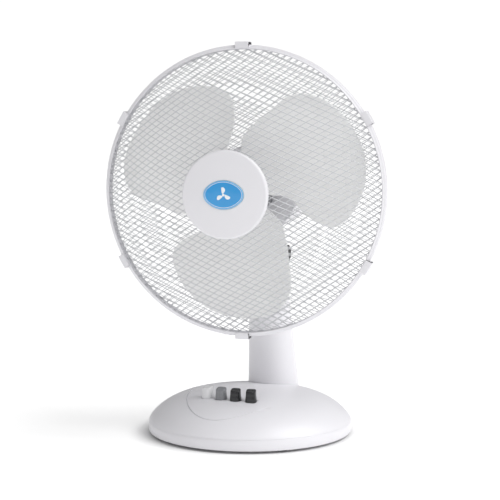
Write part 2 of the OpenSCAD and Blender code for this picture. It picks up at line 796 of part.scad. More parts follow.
// A family of parallel wires, turned by tilt
module mesh_family(tilt, c, sphere_r, front, hole) {
    n = floor((rim_r - 3) / mesh_pitch);
    rotate([0, 0, tilt]) for (k = [-n:n]) mesh_wire(k * mesh_pitch, c, sphere_r, front, hole);
}

module rim_wire(t) {
    translate([0, 0, t]) rotate_extrude() translate([rim_r, 0]) circle(r = rim_wire_r, $fn = 32);
}

module rear_guard() {
    hole = guard_plate_r - 2;
    color(WHITE) head() {
        rim_wire(rear_rim_t);
        mesh_family(mesh_tilt_a, rear_c, rear_sphere, false, hole);
        mesh_family(mesh_tilt_b, rear_c, rear_sphere - mesh_step, false, hole);
        difference() {
            translate([0, 0, guard_plate_t]) tube(guard_plate_w, guard_plate_r, boss_r + 0.3);
            around(3, 90) translate([cover_screw_ring, 0, guard_plate_t - 1]) cylinder(h = 8, r = 3);
        }
    }
}

module guard_nut() {
    nut_t = guard_plate_t + guard_plate_w + 2.3;
    color(WHITE) head() difference() {
        union() {
            translate([0, 0, nut_t]) cylinder(h = 6, r = boss_r + 6);
            around(4) translate([0, -4, nut_t]) cube([nut_r, 8, 6]);
        }
        translate([0, 0, nut_t - 1]) cylinder(h = 9, r = boss_r + 0.1);
    }
}

module front_guard() {
    color(WHITE) head() {
        rim_wire(front_rim_t);
        mesh_family(mesh_tilt_a, front_c, front_sphere, true, 0);
        mesh_family(mesh_tilt_b, front_c, front_sphere - mesh_step, true, 0);
    }
}

// Section of the trim ring: an outer band with a lip each side, grown by skin all round
module ring_section(skin, lip) {
    translate([guard_r - 1.6, -ring_w / 2 - skin]) square([1.6 + skin, ring_w + 2 * skin]);
    for (s = [-1, 1]) translate([guard_r - lip, s * (ring_w / 2 - 0.65 + skin / 2) - 0.65 - skin / 2])
        square([lip, 1.3 + skin]);
}

// Puts children at the ring's split: x outwards, y along the ring, z forwards
module at_split() {
    head() translate([0, 0, ring_t]) rotate([0, 0, split_angle]) children();
}

module guard_ring() {
    split = 0.35;
    color(WHITE) at_split() {
        rotate([0, 0, split]) rotate_extrude(angle = 360 - 2 * split) ring_section(0, 7.2);
        // lugs behind the ring, each side of the split, for the ring screw
        for (s = [-1, 1]) translate([guard_r - 7.6, s * 3 - 1.5, -ring_w / 2 - lug_h])
            difference() {
                cube([7, 3, lug_h + 1]);
                translate([3.5, -1, lug_h / 2]) rotate([-90, 0, 0]) cylinder(h = 6, r = 1.7);
            }
    }
}

module guard_clips() {
    half = 2.7;
    color(WHITE) head() translate([0, 0, ring_t]) around(6, 30)
        rotate([0, 0, -half]) rotate_extrude(angle = 2 * half) difference() {
            translate([guard_r - 7, -ring_w / 2 - 1.6]) square([8.8, ring_w + 3.2]);
            translate([guard_r - 12, -ring_w / 2 - 0.1]) square([12.1, ring_w + 0.2]);
        }
}

module ring_screw() {
    color(STEEL) at_split() translate([guard_r - 4.1, 0, -ring_w / 2 - lug_h / 2]) rotate([-90, 0, 0]) {
        translate([0, 0, -6.5]) cylinder(h = 11.5, r = 1.5);
        translate([0, 0, 4.6]) cylinder(h = 2, r = 2.8);
        translate([0, 0, -6.8]) cylinder(h = 2.2, r = 2.8, $fn = 6);
    }
}

// ---- Centre cap ----
cap_edge_t = front_t + 0.9;
cap_top_t = front_c + front_sphere + wire_r + 2.8;
cap_wall = 1.8;
cap_plate_t = front_c + front_sphere - 6;
badge_w = 46;
badge_h = 32;

// Half profile of the cap's face: a shallow crown with a rounded edge
module cap_profile(inset) {
    crown = 380;
    edge_r = 3;
    low = cap_edge_t - 2 * inset;
    flat_r = cap_r - edge_r;
    shoulder = cap_top_t - crown + sqrt(crown * crown - flat_r * flat_r) - edge_r;
    intersection() {
        translate([0, cap_top_t - crown - inset]) circle(r = crown, $fn = 180);
        union() {
            translate([0, low]) square([cap_r - inset, shoulder - low]);
            translate([0, low]) square([flat_r, cap_top_t - low]);
            translate([flat_r, shoulder]) circle(r = edge_r - inset);
        }
    }
}

// Middle of the mesh cell that is ka and kb half-steps from the axis, along each family's normal
function cell(ka, kb) = let (na = [-sin(mesh_tilt_a), cos(mesh_tilt_a)], nb = [-sin(mesh_tilt_b), cos(mesh_tilt_b)],
    pa = ka * mesh_pitch / 2, pb = kb * mesh_pitch / 2, d = na[0] * nb[1] - na[1] * nb[0])
    [(pa * nb[1] - pb * na[1]) / d, (na[0] * pb - nb[0] * pa) / d];
CAP_SCREW_CELLS = [cell(1, 1), cell(-1, -1)];

module centre_cap() {
    post_t = cap_plate_t + 2.1;
    color(WHITE) head() difference() {
        union() {
            rotate_extrude() difference() {
                cap_profile(0);
                cap_profile(cap_wall);
                translate([-100, 0]) square([100, 400]);
            }
            for (p = CAP_SCREW_CELLS) translate([p[0], p[1], post_t]) cylinder(h = cap_top_t - post_t - 1, r = 2.6);
        }
        for (p = CAP_SCREW_CELLS) translate([p[0], p[1], post_t - 1]) cylinder(h = 7, r = 1.2);
        // shallow seat of the badge
        translate([0, 0, cap_top_t - 1.1]) badge_outline(0.2, 5);
    }
}

module cap_back_plate() {
    color(WHITE) head() difference() {
        translate([0, 0, cap_plate_t]) cylinder(h = 2, r = 26);
        for (p = CAP_SCREW_CELLS) translate([p[0], p[1], cap_plate_t - 1]) cylinder(h = 4, r = 1.4);
    }
}

module cap_screws() {
    color(STEEL) head() for (p = CAP_SCREW_CELLS) translate([p[0], p[1], cap_plate_t - 0.1]) rotate([180, 0, 0])
        screw(7, r = 1.1, head_r = 2.2);
}

// A plain oval badge, made from four tangent arcs
module badge_outline(grow, h) {
    small_r = 11;
    big_r = 36;
    dx = badge_w / 2 - small_r;
    dy = big_r - badge_h / 2;
    reach = norm([dx, dy]);
    assert(reach < big_r);
    linear_extrude(h) union() {
        for (s = [-1, 1]) translate([s * dx, 0]) circle(r = small_r + grow);
        intersection() {
            for_arc(dy, big_r + grow, 1);
            for_arc(dy, big_r + grow, -1);
            square([2 * dx, badge_h * 2], center = true);
        }
    }
}

module for_arc(dy, r, s) { translate([0, -s * dy]) circle(r = r); }

module badge() {
    color("#1496dc") head() translate([0, 0, cap_top_t - 1.05]) badge_outline(0, 1.6);
}

// ---- Impeller ----
// Outline corners of one blade as [radius share of the tip, angle from the blade's middle]
BLADE = [[0.17, -30], [0.34, -36], [0.52, -50], [0.76, -51], [0.91, -35], [0.99, -16], [1.0, 2],
         [0.97, 18], [0.86, 30], [0.69, 37], [0.53, 47], [0.38, 57], [0.17, 50]];

// A smooth curve through the corners
function spline(p, i, u) = let (n = len(p), a = p[(i + n - 1) % n], b = p[i], c = p[(i + 1) % n], d = p[(i + 2) % n])
    0.5 * (2 * b + (c - a) * u + (2 * a - 5 * b + 4 * c - d) * u * u + (3 * b - a - 3 * c + d) * u * u * u);
function blade_xy(steps = 4) = [for (i = [0:len(BLADE) - 1], k = [0:steps - 1])
    let (q = spline(BLADE, i, k / steps)) blade_r * min(1, q[0]) * [cos(q[1]), sin(q[1])]];

module blade() {
    curve = 260;
    intersection() {
        translate([0, 0, blade_t - 60]) linear_extrude(120) polygon(blade_xy());
        translate([-5, -curve * sin(blade_pitch), blade_t + curve * cos(blade_pitch) - 8]) rotate([0, 90, 0])
            tube(blade_r + 10, curve + blade_wall / 2, curve - blade_wall / 2);
    }
}

module impeller() {
    color("#e3e4e6") head() difference() {
        union() {
            difference() {
                translate([0, 0, hub_rear]) cylinder(h = hub_front - hub_rear, r = hub_r);
                translate([0, 0, hub_rear - 1]) cylinder(h = hub_front - hub_rear - 1.5, r = hub_r - 2.4);
            }
            translate([0, 0, hub_rear + 1]) cylinder(h = hub_front - hub_rear - 1, r = 9);
            difference() {
                around(3, 30) blade();
                translate([0, 0, blade_t - 70]) cylinder(h = 140, r = hub_r - 1.2);
            }
        }
        translate([0, 0, hub_rear - 5]) cylinder(h = 80, r = shaft_r + 0.02);
        // slot for the drive pin
        translate([-10, -1.55, hub_rear]) cube([20, 3.1, 4.6]);
    }
}

module drive_pin() {
    color(STEEL) head() translate([0, 0, hub_rear + 3]) rotate([0, 90, 0]) cylinder(h = 16, r = 1.5, center = true);
}

module spinner_nut() {
    color(WHITE) head() difference() {
        union() {
            translate([0, 0, hub_front + 0.1]) cylinder(h = 14, r = 8.5);
            translate([0, 0, hub_front + 0.1]) cylinder(h = 3, r = 13);
            around(8) translate([8.2, 0, hub_front + 0.1]) cylinder(h = 14, r = 1.4);
        }
        translate([0, 0, hub_front - 1]) cylinder(h = 13.5, r = shaft_r + 0.02);
    }
}

base_cover();
base_plate();
rubber_feet();
base_screws();
switch_block();
switch_screws();
plunger(0);  // plunger_off
plunger(1);  // plunger_low
plunger(2);  // plunger_medium
plunger(3);  // plunger_high
button_cap(0, "#f4f4f4");  // button_off
button_cap(1, "#8a8a8a");  // button_low
button_cap(2, BLACK);  // button_medium
button_cap(3, BLACK);  // button_high
run_capacitor();
terminal_block();
cord_gland();
column();
column_screws();
tilt_bolt();
tilt_knob();
neck();
neck_screw();
pivot_pin();
gearbox_case();
gearbox_lid();
worm();
worm_wheel();
output_crank();
crank_link();
rear_bracket();
front_bracket();
rear_bearing();
front_bearing();
bracket_bolts();
stator_core();
windings();
rotor_core();
shaft();
motor_housing();
motor_front_cover();
cover_screws();
oscillation_knob();
rear_guard();
guard_nut();
front_guard();
guard_ring();
guard_clips();
ring_screw();
centre_cap();
cap_back_plate();
cap_screws();
badge();
drive_pin();
impeller();
spinner_nut();
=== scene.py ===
# %% [markdown]
# # A desk fan, dressed over its CAD frame
# The CAD model fixes every size and joint. This lesson adds what the eye expects: soft moulded
# edges, a fine wire mesh, smooth blades and finishes that behave like the real plastics and metals.
# We start by loading the frame.

# %% Load the frame
import json
from math import asin, atan2, ceil, cos, degrees, hypot, pi, radians, sin, sqrt

import bpy
from mathutils import Matrix, Vector, geometry, kdtree


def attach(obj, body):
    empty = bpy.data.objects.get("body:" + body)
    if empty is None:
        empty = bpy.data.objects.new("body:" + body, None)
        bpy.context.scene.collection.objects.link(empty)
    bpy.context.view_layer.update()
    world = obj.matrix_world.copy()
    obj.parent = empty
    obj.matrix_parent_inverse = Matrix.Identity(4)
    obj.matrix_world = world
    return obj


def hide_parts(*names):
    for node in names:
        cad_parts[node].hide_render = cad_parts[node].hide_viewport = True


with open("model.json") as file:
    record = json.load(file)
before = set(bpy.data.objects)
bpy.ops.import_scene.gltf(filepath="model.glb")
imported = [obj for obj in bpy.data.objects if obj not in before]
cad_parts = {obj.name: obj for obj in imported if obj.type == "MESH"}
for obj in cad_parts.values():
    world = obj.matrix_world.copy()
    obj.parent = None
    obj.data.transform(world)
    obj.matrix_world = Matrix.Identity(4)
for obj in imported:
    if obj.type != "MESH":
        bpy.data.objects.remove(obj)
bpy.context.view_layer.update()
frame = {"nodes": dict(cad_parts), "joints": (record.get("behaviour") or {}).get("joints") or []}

MM = 0.001

# %% [markdown]
# ## The head's own directions
# The head stands turned a little to one side, so its pieces are drawn in directions of their own:
# x to the right, y up, and z out along the blower axis. The joints give those directions, because
# the impeller spins about the blower axis and the head swings about the pivot.

# %% Find the blower axis
joints = {j["name"]: j for j in frame["joints"]}
forward = Vector(joints["impeller_spin"]["axis"]).normalized()
right = Vector((-forward.y, forward.x, 0))
pivot = joints["oscillation"]["pos_m"]
axis_height = joints["impeller_spin"]["pos_m"][2]
HEAD = Matrix.Translation((pivot[0], pivot[1], axis_height)) @ Matrix(
    ((right.x, 0, forward.x), (right.y, 0, forward.y), (0, 1, 0))
).to_4x4()
print("head turned by", round(degrees(atan2(forward.x, -forward.y)), 1), "degrees")

# %% [markdown]
# ## Making meshes
# Moulded parts are nearly all turned or swept shapes with rounded corners. Three helpers make
# them: one rounds the corners of a profile, one joins rings of points with faces, and one turns a
# profile round an axis. Lofting by hand gives even quads, which shade more smoothly than a boolean.

# %% Mesh helpers
def piece_from(name, points, faces, place=Matrix.Identity(4), sharp=35):
    """Builds a smooth-shaded object from points in mm, with creases above the sharp angle."""
    mesh = bpy.data.meshes.new(name)
    mesh.from_pydata([Vector(p) * MM for p in points], [], faces)
    mesh.polygons.foreach_set("use_smooth", [True] * len(mesh.polygons))
    mesh.set_sharp_from_angle(angle=radians(sharp))
    mesh.validate()
    piece = bpy.data.objects.new(name, mesh)
    piece.matrix_world = place
    bpy.context.scene.collection.objects.link(piece)
    return piece


def round_corners(corners, steps=5):
    """Turns (x, y, radius) corners of a closed outline into points along arcs."""
    outline = []
    for i, (x, y, radius) in enumerate(corners):
        here = Vector((x, y))
        before = Vector(corners[i - 1][:2]) - here
        after = Vector(corners[(i + 1) % len(corners)][:2]) - here
        if radius <= 0:
            outline.append((x, y))
            continue
        half = before.angle(after) / 2
        run = min(radius / abs(sin(half) / cos(half)), before.length * 0.49, after.length * 0.49)
        radius = run * abs(sin(half) / cos(half))
        middle = here + (before.normalized() + after.normalized()).normalized() * radius / sin(half)
        first = here + before.normalized() * run - middle
        last = here + after.normalized() * run - middle
        for k in range(steps + 1):
            share = k / steps
            spoke = first.slerp(last, share) if first.angle(last) > 0.01 else first
            outline.append(tuple(middle + spoke))
    return outline


def loft(rings, closed=True, ends=True):
    """Points and faces of a skin over equal rings of points; ends closes the first and last."""
    count = len(rings[0])
    points = [p for ring in rings for p in ring]
    faces = []
    for j in range(len(rings) - 1):
        for i in range(count if closed else count - 1):
            a, b = j * count + i, j * count + (i + 1) % count
            faces.append((a, b, b + count, a + count))
    if ends:
        faces.append(tuple(range(count))[::-1])
        faces.append(tuple(range(len(points) - count, len(points))))
    return points, faces


def turned(profile, steps=160, sweep=2 * pi, start=0.0):
    """A closed (radius, height) profile turned round z, all the way or through a sweep."""
    whole = sweep > 2 * pi - 1e-6
    rings = []
    for k in range(steps if whole else steps + 1):
        a = start + sweep * k / steps
        rings.append([(r * cos(a), r * sin(a), z) for r, z in profile])
    points, faces = loft(rings, ends=not whole)
    if whole:
        count, last = len(profile), (steps - 1) * len(profile)
        for i in range(count):
            j = (i + 1) % count
            faces.append((last + i, last + j, j, i))
    return points, faces


def joined(*parts):
    """Puts several (points, faces) skins into one."""
    points, faces = [], []
    for some_points, some_faces in parts:
        faces += [tuple(i + len(points) for i in f) for f in some_faces]
        points += some_points
    return points, faces


def carve(piece, *cutters):
    """Cuts the cutters out of the piece and bakes the result into its mesh."""
    for cutter in cutters:
        cut = piece.modifiers.new("cut", "BOOLEAN")
        cut.object, cut.operation, cut.solver = cutter, "DIFFERENCE", "EXACT"
    bake(piece)
    for cutter in cutters:
        bpy.data.objects.remove(cutter)
    return piece


def bake(piece, sharp=35):
    """Applies the modifiers of a piece, and creases its sharp edges again."""
    ready = piece.evaluated_get(bpy.context.evaluated_depsgraph_get())
    mesh = bpy.data.meshes.new_from_object(ready)
    piece.modifiers.clear()
    piece.data = mesh
    mesh.polygons.foreach_set("use_smooth", [True] * len(mesh.polygons))
    mesh.set_sharp_from_angle(angle=radians(sharp))


# %% [markdown]
# ## Finishes
# A finish is a small network of nodes. One function adds any node with its settings and links, and
# another turns the sRGB hex value that a designer would quote into the linear colour Blender
# mixes with. Sizes in a finish are written in millimetres and turned into texture scales.

# %% Node helpers
def colour(hex_code):
    """An sRGB hex value as a linear colour."""
    channels = [int(hex_code[i : i + 2], 16) / 255 for i in (1, 3, 5)]
    return [c / 12.92 if c <= 0.04045 else ((c + 0.055) / 1.055) ** 2.4 for c in channels] + [1]


def add_node(tree, kind, settings={}, links={}):
    """Adds one node; settings fill its sockets or properties, and links feed its sockets."""
    node = tree.nodes.new(kind)
    for key, value in settings.items():
        if isinstance(key, str) and hasattr(node, key):
            setattr(node, key, value)
        else:
            node.inputs[key].default_value = value
    for key, source in links.items():
        tree.links.new(source, node.inputs[key])
    return node


def per_mm(size):
    """Texture scale whose features are size mm across, on coordinates in metres."""
    return 1 / (size * MM)


def new_finish(name):
    """An empty finish: its material, its tree and the piece's own coordinates."""
    finish = bpy.data.materials.new(name)
    finish.use_nodes = True
    finish.node_tree.nodes.clear()
    tree = finish.node_tree
    here = add_node(tree, "ShaderNodeTexCoord").outputs["Object"]
    return finish, tree, here


def close_finish(tree, settings, links):
    """Adds the surface shader and joins it to the output."""
    surface = add_node(tree, "ShaderNodeBsdfPrincipled", settings, links)
    add_node(tree, "ShaderNodeOutputMaterial", {}, {"Surface": surface.outputs["BSDF"]})


# %% [markdown]
# ### Moulded plastics
# The fan's shell is injection-moulded ABS from a spark-eroded mould. The eye sees an even colour
# with a soft satin sheen that is broken up by a very fine grain, and broad, faint waves where the
# melt cooled unevenly. The same recipe with other values gives the key caps and the blades.

# %% Moulded plastic
def moulded(name, base, rough, grain=0.6, grain_depth=0.012, tone=0.02, wave=34.0, **more):
    """Moulded plastic: grain and wave are feature sizes in mm, tone is how far the colour drifts."""
    finish, tree, here = new_finish(name)
    drift = add_node(tree, "ShaderNodeTexNoise", {"Scale": per_mm(wave), "Detail": 2.0}, {"Vector": here})
    low, high = colour(base), colour(base)
    for i in range(3):
        low[i], high[i] = low[i] * (1 - tone), min(1, high[i] * (1 + tone))
    tint = add_node(
        tree, "ShaderNodeMix", {"data_type": "RGBA", "A": low, "B": high}, {"Factor": drift.outputs["Fac"]}
    )
    speck = add_node(tree, "ShaderNodeTexNoise", {"Scale": per_mm(grain), "Detail": 3.0}, {"Vector": here})
    sheen = add_node(
        tree,
        "ShaderNodeMapRange",
        {"To Min": rough - 0.05, "To Max": rough + 0.07},
        {"Value": speck.outputs["Fac"]},
    )
    bump = add_node(
        tree,
        "ShaderNodeBump",
        {"Strength": 0.6, "Distance": grain_depth * MM},
        {"Height": speck.outputs["Fac"]},
    )
    close_finish(
        tree,
        {"IOR": 1.53, **more},
        {
            "Base Color": tint.outputs["Result"],
            "Roughness": sheen.outputs["Result"],
            "Normal": bump.outputs["Normal"],
        },
    )
    return finish


# %% [markdown]
# ### Metals
# Inside the housing there are rolled, cast, ground and plated metals. They differ in colour, in how
# rough they are, and in the marks of the tool that made them. A stretched noise gives all of those
# marks: long in one direction for rolled or drawn metal, even for a casting.

# %% Metal
def metal(name, base, rough, mark=(0.8, 0.8, 0.8), mark_depth=0.01, dull=0.12, **more):
    """A metal: mark is the size in mm of its surface marks along x, y and z."""
    finish, tree, here = new_finish(name)
    stretched = add_node(
        tree,
        "ShaderNodeVectorMath",
        {"operation": "MULTIPLY", 1: [per_mm(size) for size in mark]},
        {0: here},
    )
    marks = add_node(
        tree, "ShaderNodeTexNoise", {"Scale": 1.0, "Detail": 4.0}, {"Vector": stretched.outputs["Vector"]}
    )
    sheen = add_node(
        tree,
        "ShaderNodeMapRange",
        {"To Min": rough - dull / 2, "To Max": rough + dull},
        {"Value": marks.outputs["Fac"]},
    )
    bright, dim = colour(base), colour(base)
    tint = add_node(
        tree,
        "ShaderNodeMix",
        {"data_type": "RGBA", "A": [c * 0.86 for c in dim[:3]] + [1], "B": bright},
        {"Factor": marks.outputs["Fac"]},
    )
    bump = add_node(
        tree,
        "ShaderNodeBump",
        {"Strength": 0.7, "Distance": mark_depth * MM},
        {"Height": marks.outputs["Fac"]},
    )
    close_finish(
        tree,
        {"Metallic": 1.0, **more},
        {
            "Base Color": tint.outputs["Result"],
            "Roughness": sheen.outputs["Result"],
            "Normal": bump.outputs["Normal"],
        },
    )
    return finish


# %% [markdown]
# ### Layered metals
# A motor core is a stack of thin steel sheets, and a winding is turn upon turn of round wire. Both
# read as fine stripes. The stripes are a wave along one direction, which lifts and darkens the
# surface. The real sheets are 0.5 mm thick and the wire 0.3 mm, too fine to show at this size, so
# both are drawn at about a millimetre.

# %% Striped metal
def layered(name, base, seam, rough, along, spacing, **more):
    """Stripes of the base colour with darker seams, spacing mm apart along a direction."""
    finish, tree, here = new_finish(name)
    height = add_node(tree, "ShaderNodeVectorMath", {"operation": "DOT_PRODUCT", 1: along}, {0: here})
    phase = add_node(
        tree,
        "ShaderNodeMath",
        {"operation": "MULTIPLY", 1: 2 * per_mm(spacing)},
        {0: height.outputs["Value"]},
    )
    band = add_node(tree, "ShaderNodeMath", {"operation": "PINGPONG", 1: 1.0}, {0: phase.outputs["Value"]})
    crest = add_node(
        tree, "ShaderNodeMapRange", {"From Min": 0.0, "From Max": 0.35}, {"Value": band.outputs["Value"]}
    )
    tint = add_node(
        tree,
        "ShaderNodeMix",
        {"data_type": "RGBA", "A": colour(seam), "B": colour(base)},
        {"Factor": crest.outputs["Result"]},
    )
    bump = add_node(
        tree, "ShaderNodeBump", {"Strength": 0.8, "Distance": 0.08 * MM}, {"Height": crest.outputs["Result"]}
    )
    close_finish(
        tree,
        {"Metallic": 1.0, "Roughness": rough, **more},
        {"Base Color": tint.outputs["Result"], "Normal": bump.outputs["Normal"]},
    )
    return finish


# %% [markdown]
# ## The fan's finishes
# Each finish is named for its material and for how its surface was made. Roughness says how wide
# the highlight spreads: about 0.2 for a polished mould, 0.35 to 0.5 for a spark-eroded one.

# %% Make the finishes
# Spark-eroded ABS: an even cool white with a soft, wide highlight
shell = moulded("abs_white_spark_eroded", "#e9e8ec", 0.36, grain=0.7, grain_depth=0.010)
# Steel wire dipped in white polyethylene: a waxy coat that pools at the crossings. The finish is grey, not
# white: painted shade for the shaded sides of the thin wires
wire_coat_painted_shade = moulded(
    "steel_wire_polyethylene_coated_painted_shade", "#cfd0d3", 0.30, grain=2.4, grain_depth=0.03, tone=0.05, wave=9.0
)
# Polypropylene from a smooth mould, with faint flow lines from the hub outwards. The real blades are pale
# grey; the near-white colour is painted light that makes up for the guard's shade on them
blade_plastic_painted_light = moulded("polypropylene_grey_moulded_painted_light", "#fbfbfb", 0.30, grain=5.0, grain_depth=0.02, tone=0.03)
# Key caps come from a polished mould, so they are glossier than the shell
key_white = moulded("abs_white_polished_mould", "#e9e9eb", 0.24, grain=0.9, grain_depth=0.004)
key_grey = moulded("abs_grey_polished_mould", "#85868a", 0.26, grain=0.9, grain_depth=0.004)
key_black = moulded("abs_black_polished_mould", "#1d1e21", 0.24, grain=0.9, grain_depth=0.004, tone=0.08)
# The motor's front cover is moulded in grey, also spark-eroded
cover_grey = moulded("abs_grey_spark_eroded", "#97989c", 0.40, grain=0.7, grain_depth=0.010)
# Glass-filled nylon: fibres near the surface leave dull flecks
nylon_black = moulded(
    "nylon_black_glass_filled", "#232427", 0.46, grain=0.9, grain_depth=0.02, tone=0.16, wave=2.0
)
# Thermoplastic rubber: soft, nearly matt, with a dusty bloom
rubber = moulded("tpe_rubber_moulded", "#2a2b2d", 0.72, grain=0.5, grain_depth=0.03, tone=0.12, wave=6.0)
# Acetal gears: ivory white with a slippery sheen
acetal = moulded("acetal_natural_moulded", "#e6e2d6", 0.28, grain=1.2, grain_depth=0.006, IOR=1.48)
# Badge paints lie under a clear poured resin, which gives one hard, sharp highlight
clear_coat = {"Coat Weight": 1.0, "Coat Roughness": 0.04, "Coat IOR": 1.5}
paint = {"grain": 1.6, "grain_depth": 0.002, **clear_coat}
badge_blue = moulded("badge_blue_resin_domed", "#0095da", 0.34, tone=0.05, **paint)
badge_pale = moulded("badge_pale_blue_resin_domed", "#9fd3f2", 0.34, **paint)
badge_white = moulded("badge_white_resin_domed", "#f2f6fa", 0.34, **paint)
# Zinc-plated screws: a bluish bright coat with faint cloudiness
zinc_plate = metal("steel_zinc_plated", "#c3c7cf", 0.30, mark=(1.5, 1.5, 1.5), mark_depth=0.006)
# Stamped link and crank: rolled strip with fine lengthwise lines
rolled_steel = metal("steel_cold_rolled", "#a9acb2", 0.36, mark=(6.0, 0.3, 0.3), mark_depth=0.008)
# Ground shaft: the grinding wheel leaves rings round it
ground_steel = metal("steel_ground", "#c8cad0", 0.18, mark=(8.0, 0.25, 8.0), mark_depth=0.003, dull=0.06)
# Pressure-cast zinc alloy: a dull, cloudy grey skin
cast_zinc = metal("zinc_alloy_pressure_cast", "#9b9ea5", 0.48, mark=(1.6, 1.6, 1.6), mark_depth=0.03)
# Sintered bronze bushes: grainy and oil-dark
sintered_bronze = metal("bronze_sintered_oiled", "#a9793c", 0.42, mark=(0.5, 0.5, 0.5), mark_depth=0.03)
stack = layered("electrical_steel_laminated", "#8e9199", "#3c3e44", 0.42, forward, 1.0)
winding = layered("copper_wire_enamelled", "#b4632e", "#5a2a12", 0.30, right, 0.9)
print("finishes:", len(bpy.data.materials))


# %% [markdown]
# ## Dressing the pieces
# A piece that this lesson draws takes a finish, rides on the body of its CAD node and stands for
# that node. A CAD node whose shape is already right stays, and only has its edges softened: a weld
# joins its seams, then a bevel rounds each edge as a mould does, so that it catches the light.

# %% Dress and keep
def dress(piece, finishes, body, slot, *nodes):
    """Gives a drawn piece its finishes and body, and hides the CAD nodes that it stands for; slot is not
    used.
    """
    for finish in finishes:
        piece.data.materials.append(finish)
    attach(piece, body)
    if nodes:
        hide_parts(*nodes)
    print(f"{piece.name}: {len(piece.data.polygons)} faces on {body}")
    return piece


def keep(finish, edge, *nodes):
    """Keeps CAD nodes with a new finish and edges rounded by edge mm."""
    for name in nodes:
        node = frame["nodes"][name]
        node.data.materials.clear()
        node.data.materials.append(finish)
        weld = node.modifiers.new("weld", "WELD")
        weld.merge_threshold = 0.005 * MM
        if edge:
            soft = node.modifiers.new("soft_edges", "BEVEL")
            soft.width, soft.segments = edge * MM, 2
            soft.limit_method, soft.angle_limit = "ANGLE", radians(40)
            soft.harden_normals = True
            soft.use_clamp_overlap = True


# %% [markdown]
# ## A sheet drawn in plan
# The base cover, the centre cap and the blades are all thin sheets that are easiest to draw from
# above: lines where something happens, such as the edge of a slot, and an even sprinkle of points
# between them. A constrained Delaunay triangulation joins both without losing a line. The height
# comes afterwards, from a formula, so the curves stay true between the points.

# %% Plan sheet
def plan_sheet(lines, grids, inside):
    """Triangles over closed or open (points, closed) lines, filled with grids of points."""
    points, edges = [], []
    for line, closed in lines:
        first, count = len(points), len(line)
        points += [Vector(p) for p in line]
        edges += [(first + i, first + (i + 1) % count) for i in range(count if closed else count - 1)]
    for spacing, reach, wanted in grids:
        near = kdtree.KDTree(len(points))
        for i, p in enumerate(points):
            near.insert((p.x, p.y, 0), i)
        near.balance()
        rows = ceil(reach / spacing / 0.866)
        for j in range(-rows, rows + 1):
            for i in range(-rows, rows + 1):
                x, y = (i + 0.5 * (j % 2)) * spacing, j * spacing * 0.866
                if wanted(x, y) and near.find((x, y, 0))[2] > 0.6 * spacing:
                    points.append(Vector((x, y)))
    spots, _, faces = geometry.delaunay_2d_cdt(points, edges, [], 0, 1e-5)[:3]
    kept = []
    for face in faces:
        middle = (spots[face[0]] + spots[face[1]] + spots[face[2]]) / 3
        if inside(middle.x, middle.y):
            kept.append(tuple(face))
    places = kdtree.KDTree(len(spots))
    for i, p in enumerate(spots):
        places.insert((p.x, p.y, 0), i)
    places.balance()
    return [(p.x, p.y) for p in spots], kept, lambda line: [places.find((x, y, 0))[1] for x, y in line]


def tidy_points(points, faces):
    """Drops the points that no face uses."""
    used = sorted({i for f in faces for i in f})
    new = {old: i for i, old in enumerate(used)}
    return [points[i] for i in used], [tuple(new[i] for i in f) for f in faces]


# %% [markdown]
# ## The base cover
# The cover is one domed moulding. Its control panel is bounded by a shallow groove, and the four
# keys stand in a trough along an arc. All of this is a height over the plan, so one formula holds
# it: the dome, with the trough blended in and the groove and the slot edges taken off.

# %% Heights of the base cover
BASE_R, DOME_H, RIM_H = 123.0, 52.5, 16.0
KEY_Y, KEY_ARC, KEY_PITCH, SLOT_W, SLOT_CORNER = 60.0, 140.0, 19.0, 13.4, 4.6
KEY_ANGLES = [k * KEY_PITCH / KEY_ARC for k in (-1.5, -0.5, 0.5, 1.5)]
ARC_MIDDLE = KEY_ARC - KEY_Y
# The column's middle line and radius where it leaves the dome, and how it leans and tapers upwards
COLUMN_Y, COLUMN_Z, COLUMN_R, COLUMN_TAPER = 68, 50, 31.5, 0.0633
COLUMN_TOP_Y, COLUMN_TOP_Z = 50, 200
LEAN = atan2(COLUMN_Y - COLUMN_TOP_Y, COLUMN_TOP_Z - COLUMN_Z)
TROUGH_R, TROUGH_DEPTH = 30.0, 1.1
TROUGH_END = KEY_ANGLES[3] + 1.0 / KEY_ARC
GROOVE_DEPTH = 1.5


def dome(r):
    return RIM_H + (DOME_H - RIM_H) * max(0.0, 1 - (r / BASE_R) ** 3.5) ** 0.77


def blend_low(a, b, width):
    """The lower of two heights, with the crease between them rounded."""
    overlap = max(width - abs(a - b), 0) / width
    return min(a, b) - overlap * overlap * width / 4


def square_gap(x, y, side, corner):
    """Distance outside a rounded square, negative inside it."""
    qx, qy = abs(x) - (side / 2 - corner), abs(y) - (side / 2 - corner)
    return hypot(max(qx, 0), max(qy, 0)) + min(max(qx, qy), 0) - corner


def key_axes(x, y, angle):
    """A point in the directions of one key: across it, and towards the middle of the base."""
    y -= ARC_MIDDLE
    return x * cos(angle) + y * sin(angle), -x * sin(angle) + y * cos(angle) + KEY_ARC


def slot_gap(x, y):
    return min(square_gap(*key_axes(x, y, a), SLOT_W, SLOT_CORNER) for a in KEY_ANGLES)


def column_gap(x, y):
    """Distance outside the leaning column where it comes through the dome."""
    z = dome(hypot(x, y))
    middle = COLUMN_Y - (z - COLUMN_Z) * sin(LEAN) / cos(LEAN)
    return hypot(x, (y - middle) * cos(LEAN)) - (COLUMN_R - COLUMN_TAPER * (z - COLUMN_Z))


def trough_gap(x, y):
    """Distance from the arc that the keys stand on."""
    y -= ARC_MIDDLE
    angle = max(-TROUGH_END, min(TROUGH_END, atan2(x, -y)))
    return hypot(x - KEY_ARC * sin(angle), y + KEY_ARC * cos(angle))


def rounded_off(gap, radius):
    """How far an edge of that radius has dropped at a distance from it."""
    return radius - sqrt(max(0.0, radius**2 - (radius - gap) ** 2)) if 0 <= gap < radius else 0.0


